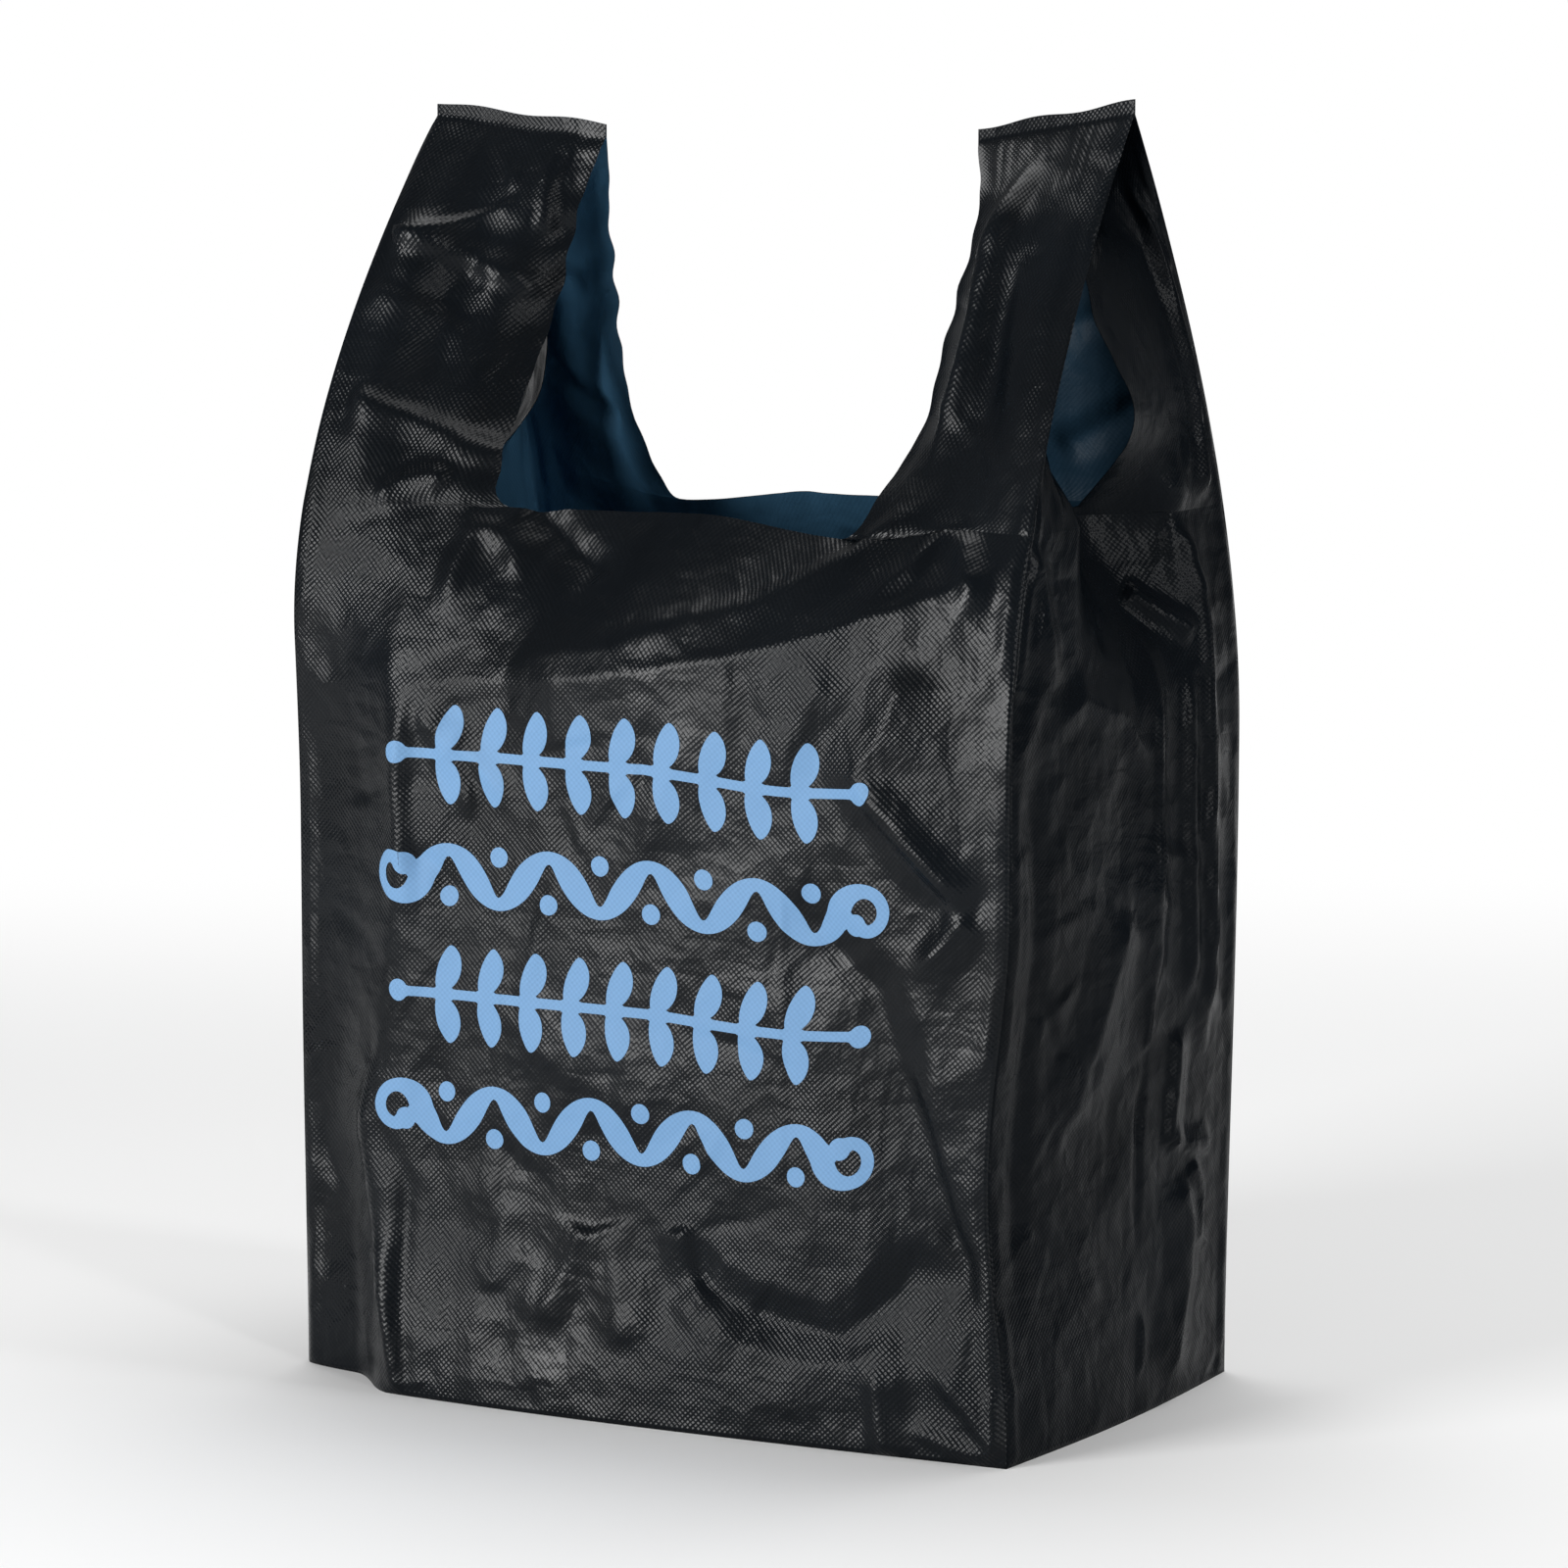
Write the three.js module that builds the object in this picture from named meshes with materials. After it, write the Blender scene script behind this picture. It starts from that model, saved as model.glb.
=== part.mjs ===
// A plastic carrier bag with two loop handles, standing open on its base.
// It is one piece of film: a gusseted tube, folded flat at the bottom, with a U cut out of its top
// and each handle welded shut along its upper edge. Millimetres, +Z up, front face towards -Y.
import * as THREE from "three";

// Driving sizes
const FRONT_WIDTH = 305;
const BASE_DEPTH = 178;
const MOUTH_HEIGHT = 333;
const LEFT_HANDLE_RISE = 147;
const RIGHT_HANDLE_RISE = 151;
const HANDLE_WIDTH = 76;
const FILM_THICKNESS = 0.6;
const WELD_BAND = 5;
const MOUTH_CORNER_RADIUS = 9;

// How the standing film leans, sags and folds
const LEFT_SHOULDER_HEIGHT = 283;
const RIGHT_SHOULDER_HEIGHT = 250;
const LEAN_POWER = 1.8;
const LEFT_WELD_INSET = 9.5;
const RIGHT_WELD_INSET = 5.5;
const LEFT_WELD_BACK = 0;
const RIGHT_WELD_BACK = 16;
const LEFT_WELD_DROOP = 7;
const RIGHT_WELD_DROOP = 12;
const RIGHT_WELD_TWIST = 17;
const FRONT_MOUTH_SAG = 27;
const BACK_MOUTH_SAG = 42;
const MOUTH_DIP = 6;
const FRONT_LEAN_LEFT_HEIGHT = 268;
const FRONT_LEAN_RIGHT_HEIGHT = 326;
const BACK_LEAN_HEIGHT = 255;
const PANEL_BULGE = 4;
const FOOT_BULGE = 9;
const FOOT_BULGE_HEIGHT = 70;
const GUSSET_BULGE = 4;
const BACK_SPREAD = 2.5;
const BACK_SPREAD_HEIGHT = 240;
const WAIST_PINCH = 8;
const WAIST_HEIGHT = 100;
const WAIST_REACH = 95;
const PLEAT_DEPTH = 20;
const PLEAT_FLAT_WIDTH = 26;
const PLEAT_STEP_WIDTH = 30;
const PLEAT_FLAT_HEIGHT = 150;
const PLEAT_SLOPE_WIDTH = 62;
const PLEAT_UPPER_SHARE = 0.75;
const PLEAT_FADE_FROM = 210;
const PLEAT_HEIGHT = 345;
const PLEAT_SPREAD = 9;
const POCKET_DEPTH = 24;
const POCKET_WIDTH = 96;
const POCKET_HEIGHT = 70;
const FOLD_RISE = 5;
const FOLD_REACH = 25;
const FOLD_END_SHARE = 0.15;
const FOLD_CLEARANCE = 12;
const FOLD_WELD_CLEARANCE = 26;
const FOLD_SHARPNESS = 1.2;
const GATHER_DEPTH = 5;
const STRAP_BLEND_SHARE = 0.26;
const FOLD_ROUNDING = 1;

// Colours, and the printed bands counted in rows of the mesh
const FILM_COLOUR = new THREE.Color(0x1d1e21);
const INK_COLOUR = new THREE.Color(0x7ba3cd);
const PRINT_SIDE_SHARE = 0.17;
const PRINT_FOOT_ROW = 7;
const PRINT_BANDS = 4;
const PRINT_BAND_ROWS = 2;
const PRINT_STEP_ROWS = 3;

// Mesh density
const STRIP_COLUMNS = 8;
const GAP_COLUMNS = 10;
const BODY_ROWS = [
  0, 0.02, 0.055, 0.1, 0.145, 0.19, 0.235, 0.28, 0.325, 0.37, 0.415, 0.46,
  0.505, 0.55, 0.595, 0.64, 0.685, 0.73, 0.775, 0.82, 0.865, 0.91, 0.955, 1,
];
const CORNER_ROWS = [0.1, 0.3, 0.6, 1];
const SLOT_FOOT_ROW = 2;
const STRAP_ROWS = 9;

// Long folds of the film, each a line of points with its rise and its reach to the left and the right
// of the line. A point is a share of the half width or half depth across and of the mouth height up
const FRONT_FOLDS = [
  [[[-0.39, 0.84], [-0.08, 0.86], [0.3, 0.91], [0.56, 0.98], [0.73, 1.06]], 1, 0.8, 2.2],
  [[[0.74, 0.87], [0.68, 0.79], [0.61, 0.74], [0.77, 0.66], [0.92, 0.6]], 0.8, 1.2, 0.6],
  [[[0.38, 0.61], [0.64, 0.51], [0.74, 0.39], [0.8, 0.31], [0.88, 0.22], [0.93, 0.14]], -0.9, 0.6, 1.4],
  [[[0.1, 0.21], [0.2, 0.16], [0.31, 0.14], [0.56, 0.12], [0.71, 0.18], [0.77, 0.25]], -0.8, 0.5, 1.2],
  [[[-0.68, 0.92], [-0.7, 0.79], [-0.66, 0.65], [-0.7, 0.52], [-0.79, 0.29], [-0.65, 0]], 0.8, 1.2, 0.9],
  [[[-0.93, 1.3], [-0.77, 1.28], [-0.64, 1.25], [-0.54, 1.22]], 0.6, 0.6, 1],
  [[[-0.92, 1.12], [-0.68, 1.08], [-0.49, 1.04]], 0.7, 0.5, 0.9],
  [[[0.72, 1.37], [0.68, 1.22], [0.67, 1.16], [0.63, 1.05]], 0.7, 1, 0.5],
];
const BACK_FOLDS = [
  [[[0.79, 1], [0.56, 0.9], [0.26, 0.79], [-0.03, 0.64], [-0.26, 0.45]], 1.1, 1.2, 1.6],
  [[[-0.84, 0.99], [-0.63, 0.85], [-0.39, 0.74], [-0.13, 0.68]], 1, 1.4, 1],
  [[[0.63, 0.71], [0.46, 0.62], [0.42, 0.48], [0.51, 0.35], [0.66, 0.21]], 0.8, 1, 1.2],
  [[[-0.68, 0.66], [-0.6, 0.51], [-0.63, 0.33], [-0.72, 0.15]], 0.8, 1, 0.8],
  [[[-0.46, 0.2], [-0.2, 0.12], [0.13, 0.1], [0.46, 0.14]], -0.7, 0.6, 1],
];
const RIGHT_FOLDS = [
  [[[0.46, 1], [0.54, 0.91], [0.6, 0.8], [0.64, 0.58], [0.71, 0.36]], 1, 0.7, 1.2],
  [[[-0.07, 0.58], [-0.18, 0.51], [-0.31, 0.43], [-0.49, 0.34]], 0.7, 1, 0.8],
  [[[0.17, 0.9], [0.17, 0.69], [0.19, 0.45]], 0.5, 0.6, 0.6],
  [[[0.49, 0.26], [0.58, 0.19], [0.55, 0.14], [0.36, 0.02]], 0.7, 0.5, 0.8],
];
const LEFT_FOLDS = [
  [[[-0.45, 0.9], [-0.34, 0.79], [-0.38, 0.62], [-0.27, 0.45]], 0.8, 1, 0.7],
  [[[0.34, 0.92], [0.27, 0.75], [0.38, 0.57], [0.31, 0.36]], 0.7, 0.7, 1],
  [[[-0.67, 0.45], [-0.45, 0.35], [-0.54, 0.24], [-0.34, 0.12]], 0.6, 0.6, 0.8],
];

const { clamp, lerp, smoothstep } = THREE.MathUtils;
const halfWidth = FRONT_WIDTH / 2;
const halfDepth = BASE_DEPTH / 2;
const mouthRow = BODY_ROWS.length - 1;
const weldRow = mouthRow + CORNER_ROWS.length + STRAP_ROWS;
const panelColumns = 2 * STRIP_COLUMNS + GAP_COLUMNS;
const ringColumns = 2 * panelColumns + 4 * STRIP_COLUMNS;

// The weld along the top of one handle: outer and inner end of its lower edge, and its rise
function weldOf(side, rise, inset, back, droop, twist) {
  const foot = MOUTH_HEIGHT + rise - WELD_BAND;
  const outer = new THREE.Vector3(side * (halfWidth - inset), back, foot);
  const inner = new THREE.Vector3(side * (halfWidth - inset - HANDLE_WIDTH), back + twist, foot - droop);
  const along = inner.clone().sub(outer).setLength(Math.sqrt(HANDLE_WIDTH ** 2 - droop ** 2));
  inner.copy(outer).add(along);
  const facing = new THREE.Vector3(-along.y, along.x, 0).normalize().multiplyScalar(side);
  return { outer, inner, facing, rise: rise - WELD_BAND };
}

const handles = {
  left: {
    side: -1,
    shoulder: LEFT_SHOULDER_HEIGHT,
    weld: weldOf(-1, LEFT_HANDLE_RISE, LEFT_WELD_INSET, LEFT_WELD_BACK, LEFT_WELD_DROOP, 0),
  },
  right: {
    side: 1,
    shoulder: RIGHT_SHOULDER_HEIGHT,
    weld: weldOf(1, RIGHT_HANDLE_RISE, RIGHT_WELD_INSET, RIGHT_WELD_BACK, RIGHT_WELD_DROOP, RIGHT_WELD_TWIST),
  },
};

// 1 at the middle of a hump and 0 from one reach away on
function hump(value, middle, reach) {
  const x = Math.min(1, Math.abs(value - middle) / reach);
  return (1 - x * x) ** 2;
}

// How far one fold lifts the film at a place: a tent over its line, fading towards both ends
function foldHeight(across, up, halfSpan, [line, rise, left, right]) {
  const points = line.map(([x, z]) => [x * halfSpan, z * MOUTH_HEIGHT]);
  let nearest = Infinity;
  let side = 0;
  let run = 0;
  let length = 0;
  for (let i = 1; i < points.length; i++) {
    const [x, z] = points[i - 1];
    const dx = points[i][0] - x;
    const dz = points[i][1] - z;
    const span = Math.hypot(dx, dz);
    const along = clamp(((across - x) * dx + (up - z) * dz) / span ** 2, 0, 1);
    const offset = Math.hypot(across - x - along * dx, up - z - along * dz);
    if (offset < nearest) {
      nearest = offset;
      side = dx * (up - z) - dz * (across - x);
      run = length + along * span;
    }
    length += span;
  }
  const tent = Math.max(0, 1 - nearest / (FOLD_REACH * (side > 0 ? left : right)));
  const fade = smoothstep(run / length, 0, FOLD_END_SHARE) * smoothstep(1 - run / length, 0, FOLD_END_SHARE);
  return FOLD_RISE * rise * tent ** FOLD_SHARPNESS * fade;
}

// All folds of a panel at a place, flattened towards the creases
function foldsHeight(across, up, halfSpan, folds, fromCrease) {
  const lift = folds.reduce((sum, fold) => sum + foldHeight(across, up, halfSpan, fold), 0);
  return lift * smoothstep(fromCrease, 0, FOLD_CLEARANCE) * smoothstep(up, 0, FOLD_CLEARANCE);
}

// The left front corner is set back: in a step at its foot, and in a slope further up
function pleatShare(fromCrease, height) {
  const eased = smoothstep(height, 0, PLEAT_FLAT_HEIGHT);
  const flat = PLEAT_FLAT_WIDTH * (1 - eased);
  const across = 1 - smoothstep(fromCrease, flat, flat + lerp(PLEAT_STEP_WIDTH, PLEAT_SLOPE_WIDTH, eased));
  const upwards = 1 - smoothstep(height, PLEAT_FADE_FROM, PLEAT_HEIGHT);
  return across * upwards * lerp(1, PLEAT_UPPER_SHARE, eased);
}

// Where the film folds from a panel into a gusset: end is -1 for the front crease, 1 for the back
function crease(handle, end, height) {
  const { side, shoulder, weld } = handle;
  const climb = clamp((height - shoulder) / (weld.outer.z - shoulder), 0, 1) ** LEAN_POWER;
  const pinch = side > 0 && end < 0 ? WAIST_PINCH * hump(height, WAIST_HEIGHT, WAIST_REACH) : 0;
  const spread = end > 0 ? BACK_SPREAD * hump(height, BACK_SPREAD_HEIGHT, BACK_SPREAD_HEIGHT) : 0;
  const foot = side < 0 && end < 0 ? PLEAT_SPREAD * pleatShare(0, height) : 0;
  const x = lerp(side * halfWidth, weld.outer.x, climb) + side * (spread + foot - pinch);
  return new THREE.Vector3(x, lerp(end * halfDepth, weld.outer.y, climb) + spread, height);
}

// How far up the free edge of the mouth lies, share across from 0 to 1
function mouthHeight(share) {
  return MOUTH_HEIGHT - MOUTH_DIP * hump(share, 0.72, 0.2);
}

// How much of the mouth's sag has been reached at a height above the line where the panel leans in
function leanShare(height, leanHeight, share) {
  const from = Math.min(leanHeight, mouthHeight(share) - MOUTH_CORNER_RADIUS / 2);
  return clamp((height - from) / (mouthHeight(share) - from), 0, 1);
}

// A point of the front panel, share across from the left crease to the right one
function frontPoint(share, height) {
  const point = crease(handles.left, -1, height).lerp(crease(handles.right, -1, height), share);
  const foot = FOOT_BULGE * hump(height, 0, FOOT_BULGE_HEIGHT) * Math.sin(Math.PI * Math.sqrt(share));
  const bulge = PANEL_BULGE * Math.sin(Math.PI * share);
  const leanHeight = lerp(FRONT_LEAN_LEFT_HEIGHT, FRONT_LEAN_RIGHT_HEIGHT, share ** 2.5);
  const sag = FRONT_MOUTH_SAG * Math.sin(Math.PI * share ** 1.3) * leanShare(height, leanHeight, share);
  const fromCrease = FRONT_WIDTH * Math.min(share, 1 - share);
  const folds = foldsHeight(point.x, height, halfWidth, FRONT_FOLDS, fromCrease);
  point.y += sag - foot - bulge - folds + PLEAT_DEPTH * pleatShare(share * FRONT_WIDTH, height);
  return point;
}

// A point of the back panel, share across from the right crease to the left one
function backPoint(share, height) {
  const point = crease(handles.right, 1, height).lerp(crease(handles.left, 1, height), share);
  const sag = BACK_MOUTH_SAG * Math.sin(Math.PI * share) * leanShare(height, BACK_LEAN_HEIGHT, share);
  const fromCrease = FRONT_WIDTH * Math.min(share, 1 - share);
  const folds = foldsHeight(point.x, height, halfWidth, BACK_FOLDS, fromCrease);
  point.y += PANEL_BULGE * Math.sin(Math.PI * share) + folds - sag;
  return point;
}

// A point of a gusset, share across from the front crease to the back one
function gussetPoint(handle, share, height) {
  const point = crease(handle, -1, height).lerp(crease(handle, 1, height), share);
  const nearMouth = smoothstep(height, MOUTH_HEIGHT - POCKET_HEIGHT, MOUTH_HEIGHT);
  const pocket = POCKET_DEPTH * nearMouth * hump((share - 0.5) * BASE_DEPTH, 0, POCKET_WIDTH / 2);
  const bulge = GUSSET_BULGE * Math.sin(Math.PI * share) * (1 - nearMouth);
  const fromCrease = BASE_DEPTH * Math.min(share, 1 - share);
  const folds = foldsHeight(point.y, height, halfDepth, handle.side > 0 ? RIGHT_FOLDS : LEFT_FOLDS, fromCrease);
  point.x += handle.side * (bulge + folds - pocket);
  if (handle === handles.left) point.y += PLEAT_DEPTH * pleatShare(0, height) * (1 - share);
  return point;
}

// One handle has four strips of film. Each runs from a crease to its own cut edge, and the edge goes
// through points given as shares of the handle width inwards, the half depth back and the handle rise
const cutEdges = {
  leftFront: [[1, -0.68, 0], [0.95, -0.47, 0.25], [0.94, -0.16, 0.5], [1, -0.06, 0.75]],
  leftFrontGusset: [[0.4, 0.02, 0], [0.54, -0.18, 0.25], [0.7, -0.04, 0.5], [0.88, 0, 0.75]],
  leftBackGusset: [[0.4, 0.02, 0], [0.54, 0.24, 0.25], [0.7, 0.13, 0.5], [0.88, 0.03, 0.75]],
  leftBack: [[0.88, 0.6, 0], [0.97, 0.36, 0.25], [1, 0.25, 0.5], [1.04, 0.14, 0.75]],
  rightFront: [[0.95, -0.45, 0], [0.9, -0.29, 0.25], [0.85, -0.15, 0.5], [0.76, -0.06, 0.75]],
  rightFrontGusset: [[0.3, 0.05, 0], [0.58, -0.07, 0.25], [0.72, -0.01, 0.5], [0.72, 0.08, 0.75]],
  rightBackGusset: [[0.3, 0.05, 0], [-0.04, 0.0, 0.25], [0.02, -0.24, 0.5], [0.4, 0.1, 0.75]],
  rightBack: [[1, 0.5, 0], [0.98, 0.44, 0.25], [0.93, 0.38, 0.5], [0.9, 0.32, 0.75]],
};

function edgeCurve(handle, shares) {
  const points = shares.map(([inwards, back, rise]) => {
    const x = handle.side * (halfWidth - inwards * HANDLE_WIDTH);
    return new THREE.Vector3(x, back * halfDepth, MOUTH_HEIGHT + rise * handle.weld.rise);
  });
  return new THREE.CatmullRomCurve3([...points, handle.weld.inner]);
}

// The strips in their order round the bag. depth is the side of the weld's stack that a strip lies on
const first = { leftFront: 0, rightFront: panelColumns, rightBack: panelColumns + 2 * STRIP_COLUMNS };
first.leftBack = first.rightBack + panelColumns;
const strips = [
  { handle: handles.left, end: -1, crease: first.leftFront, step: 1, gusset: false, edge: cutEdges.leftFront },
  { handle: handles.right, end: -1, crease: first.rightFront, step: -1, gusset: false, edge: cutEdges.rightFront },
  { handle: handles.right, end: -1, crease: first.rightFront, step: 1, gusset: true, edge: cutEdges.rightFrontGusset },
  { handle: handles.right, end: 1, crease: first.rightBack, step: -1, gusset: true, edge: cutEdges.rightBackGusset },
  { handle: handles.right, end: 1, crease: first.rightBack, step: 1, gusset: false, edge: cutEdges.rightBack },
  { handle: handles.left, end: 1, crease: first.leftBack, step: -1, gusset: false, edge: cutEdges.leftBack },
  { handle: handles.left, end: 1, crease: first.leftBack, step: 1, gusset: true, edge: cutEdges.leftBackGusset },
  { handle: handles.left, end: -1, crease: ringColumns, step: -1, gusset: true, edge: cutEdges.leftFrontGusset },
];
for (const strip of strips) strip.curve = edgeCurve(strip.handle, strip.edge);

// Share of the panel or gusset width at a column, closer together in the handles than in the gap
function panelShare(column) {
  const stripWidth = HANDLE_WIDTH + MOUTH_CORNER_RADIUS;
  const gapWidth = FRONT_WIDTH - 2 * stripWidth;
  const inGap = clamp(column - STRIP_COLUMNS, 0, GAP_COLUMNS);
  return (((column - inGap) * stripWidth) / STRIP_COLUMNS + (inGap * gapWidth) / GAP_COLUMNS) / FRONT_WIDTH;
}

// A point of the body below the mouth
function bodyPoint(column, row) {
  const at = column % ringColumns;
  const share = BODY_ROWS[row];
  if (at <= panelColumns) {
    const across = panelShare(at);
    return frontPoint(across, share * mouthHeight(across));
  }
  if (at < first.rightBack) {
    return gussetPoint(handles.right, (at - panelColumns) / (2 * STRIP_COLUMNS), share * MOUTH_HEIGHT);
  }
  if (at <= first.leftBack) {
    const across = panelShare(at - first.rightBack);
    return backPoint(across, share * mouthHeight(across));
  }
  return gussetPoint(handles.left, 1 - (at - first.leftBack) / (2 * STRIP_COLUMNS), share * MOUTH_HEIGHT);
}

// How far up a handle a row lies, from 0 at the mouth to 1 at the weld
function strapShare(row, handle) {
  const cornerTop = MOUTH_CORNER_RADIUS / handle.weld.rise;
  const step = row - mouthRow;
  if (step <= 0) return 0;
  if (step <= CORNER_ROWS.length) return CORNER_ROWS[step - 1] * cornerTop;
  return lerp(cornerTop, 1, (step - CORNER_ROWS.length) / STRAP_ROWS);
}

// The strip between its crease and its cut edge, without the mouth's own shape
function ruledPoint(strip, count, row) {
  const { handle, end, curve, gusset } = strip;
  const up = strapShare(row, handle);
  const across = count / STRIP_COLUMNS;
  const outer = crease(handle, end, lerp(MOUTH_HEIGHT, handle.weld.outer.z, up));
  const inner = curve.getPoint(up);
  if (!gusset) {
    const toTop = clamp((up * handle.weld.rise) / MOUTH_CORNER_RADIUS, 0, 1);
    const flare = MOUTH_CORNER_RADIUS * (1 - Math.sqrt(1 - (1 - toTop) ** 2));
    inner.add(inner.clone().sub(outer).setLength(flare));
  }
  const point = outer.lerp(inner, across);
  if (!gusset) {
    const gather = GATHER_DEPTH * Math.sin(2 * Math.PI * across) ** 2 * Math.sin(Math.PI * up);
    const table = end < 0 ? FRONT_FOLDS : BACK_FOLDS;
    const folds = foldsHeight(point.x, point.z, halfWidth, table, across * HANDLE_WIDTH);
    point.y += end * (gather + folds * smoothstep(handle.weld.inner.z - point.z, 0, FOLD_WELD_CLEARANCE));
  }
  const stacked = gusset ? 0 : 2 * FILM_THICKNESS * smoothstep(up, 0.6, 0.85) * Math.min(1, count);
  return point.addScaledVector(handle.weld.facing, -end * stacked);
}

// A point of a handle strip, count columns from its crease; it starts from the mouth's own shape
function strapPoint(strip, count, row) {
  const up = strapShare(row, strip.handle);
  const mouth = bodyPoint(strip.crease + strip.step * count, mouthRow);
  const fade = 1 - smoothstep(up, 0, STRAP_BLEND_SHARE);
  return ruledPoint(strip, count, row).addScaledVector(mouth.sub(ruledPoint(strip, count, mouthRow)), fade);
}

// The closed body is gathered here as named corners and triangles
const corners = new Map();
const triangles = [];

function corner(name, place) {
  if (!corners.has(name)) corners.set(name, place());
  return name;
}

function face(...names) {
  const added = [];
  for (let i = 2; i < names.length; i++) added.push([names[0], names[i - 1], names[i]]);
  triangles.push(...added);
  return added;
}

// The print is a set of plain blue bands across the front
const printed = new Set();

function isPrinted(column, row) {
  const step = (row - PRINT_FOOT_ROW) / PRINT_STEP_ROWS;
  const inBand = step >= 0 && step < PRINT_BANDS && (row - PRINT_FOOT_ROW) % PRINT_STEP_ROWS < PRINT_BAND_ROWS;
  return inBand && panelShare(column) > PRINT_SIDE_SHARE && panelShare(column + 1) < 1 - PRINT_SIDE_SHARE;
}

const stripAt = (column) =>
  strips.find(({ crease: at, step }) => column >= Math.min(at, at + step * STRIP_COLUMNS) &&
    column < Math.max(at, at + step * STRIP_COLUMNS));

// Names of the outer and inner corner at a column and row. The strips share their creases, the gusset
// halves share the foot of the slot, and at the weld the four strips come together face to face
function names(column, row, strip) {
  const ring = column % ringColumns;
  if (row <= mouthRow) return [`outer ${ring} ${row}`, `inner ${ring} ${row}`];
  const { handle, end, gusset } = strip;
  const count = Math.abs(column - strip.crease);
  if (row === weldRow) {
    const layer = count === 0 || gusset ? "middle" : `skin ${end}`;
    return [`weld ${handle.side} ${layer} ${count}`, `weld ${handle.side} inside ${end} ${count}`];
  }
  const half = gusset && count === STRIP_COLUMNS && row > mouthRow + SLOT_FOOT_ROW ? ` half ${end}` : "";
  return [`outer ${ring} ${row}${half}`, `inner ${ring} ${row}${half}`];
}

function outerPlace(column, row, strip) {
  if (row <= mouthRow) return bodyPoint(column, row);
  return strapPoint(strip, Math.abs(column - strip.crease), row);
}

// Every patch of film between two columns and two rows
const patches = [];
for (let column = 0; column < ringColumns; column++) {
  const strip = stripAt(column);
  const top = strip ? weldRow : mouthRow;
  for (let row = 0; row < top; row++) {
    const places = [[column, row], [column + 1, row], [column + 1, row + 1], [column, row + 1]];
    const pairs = places.map(([c, r]) => names(c, r, strip));
    places.forEach(([c, r], i) => corner(pairs[i][0], () => outerPlace(c, r, strip)));
    patches.push({ column, row, strip, pairs });
  }
}

// The film's normal at each outer corner, and how much further the inner corner lies at a fold
const normals = new Map();
for (const { pairs } of patches) {
  const [a, b, c, d] = pairs.map(([outer]) => corners.get(outer));
  const normal = c.clone().sub(a).cross(d.clone().sub(b)).normalize();
  for (const [outer] of pairs) {
    if (!normals.has(outer)) normals.set(outer, { sum: new THREE.Vector3(), faces: [] });
    normals.get(outer).sum.add(normal);
    normals.get(outer).faces.push(normal);
  }
}

function innerPlace(outer, row) {
  const { sum, faces } = normals.get(outer);
  if (row === 0) sum.z = 0;
  const normal = sum.clone().normalize();
  const slant = Math.max(0.2, Math.min(...faces.map((face) => face.dot(normal))));
  const place = corners.get(outer).clone().addScaledVector(normal, -FILM_THICKNESS / slant);
  if (row === 0) place.z = FILM_THICKNESS;
  return place;
}

// Inside the weld the front strip meets its gusset half, and the back strip meets its own
function weldInsidePlace(strip, count) {
  const { weld } = strip.handle;
  const across = Math.max(count, 0.25) / STRIP_COLUMNS;
  const depth = FILM_THICKNESS * Math.min(1, count + 0.25);
  return weld.outer.clone().lerp(weld.inner, across).addScaledVector(weld.facing, -strip.end * depth);
}

for (const { row, column, strip, pairs } of patches) {
  const rows = [row, row, row + 1, row + 1];
  const columns = [column, column + 1, column + 1, column];
  pairs.forEach(([outer, inner], i) => {
    const atWeld = rows[i] === weldRow;
    const count = strip ? Math.abs(columns[i] - strip.crease) : 0;
    corner(inner, () => (atWeld ? weldInsidePlace(strip, count) : innerPlace(outer, rows[i])));
  });
  const [a, b, c, d] = pairs.map(([, inner]) => inner);
  const outside = face(...pairs.map(([outer]) => outer));
  if (isPrinted(column, row)) outside.forEach((triangle) => printed.add(triangle));
  face(a, d, c, b);
}

// The cut edges: the mouth between the handles, then both sides of every strip's free edge
for (const { column, row, strip, pairs } of patches) {
  const [[outerA, innerA], [outerB, innerB], [outerC, innerC], [outerD, innerD]] = pairs;
  if (!strip && row === mouthRow - 1) face(outerD, outerC, innerC, innerD);
  if (!strip || row < mouthRow + (strip.gusset ? SLOT_FOOT_ROW : 0)) continue;
  const edge = strip.crease + strip.step * STRIP_COLUMNS;
  if (column + 1 === edge) face(outerB, innerB, innerC, outerC);
  if (column === edge) face(outerA, outerD, innerD, innerA);
}

// The welded band above the four strips, closed over the top and at both ends
function weldBand(handle) {
  const { side, weld } = handle;
  const rise = new THREE.Vector3(0, 0, WELD_BAND);
  const skin = (end, count) => (count === 0 ? `weld ${side} middle 0` : `weld ${side} skin ${end} ${count}`);
  const top = (end, count) =>
    corner(`weld ${side} top ${end} ${count}`, () => {
      const depth = 2 * FILM_THICKNESS * (count === 0 ? 0.5 : 1);
      const foot = weld.outer.clone().lerp(weld.inner, count / STRIP_COLUMNS);
      return foot.add(rise).addScaledVector(weld.facing, -end * depth);
    });
  const outward = (...ring) => face(...(side > 0 ? ring.reverse() : ring));
  for (let count = 0; count < STRIP_COLUMNS; count++) {
    outward(skin(-1, count), skin(-1, count + 1), top(-1, count + 1), top(-1, count));
    outward(skin(1, count + 1), skin(1, count), top(1, count), top(1, count + 1));
    outward(top(-1, count), top(-1, count + 1), top(1, count + 1), top(1, count));
  }
  outward(skin(-1, 0), top(-1, 0), top(1, 0));
  const last = STRIP_COLUMNS;
  const inside = (end) => `weld ${side} inside ${end} ${last}`;
  outward(top(-1, last), skin(-1, last), inside(-1), `weld ${side} middle ${last}`, inside(1), skin(1, last), top(1, last));
}
weldBand(handles.left);
weldBand(handles.right);

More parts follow.
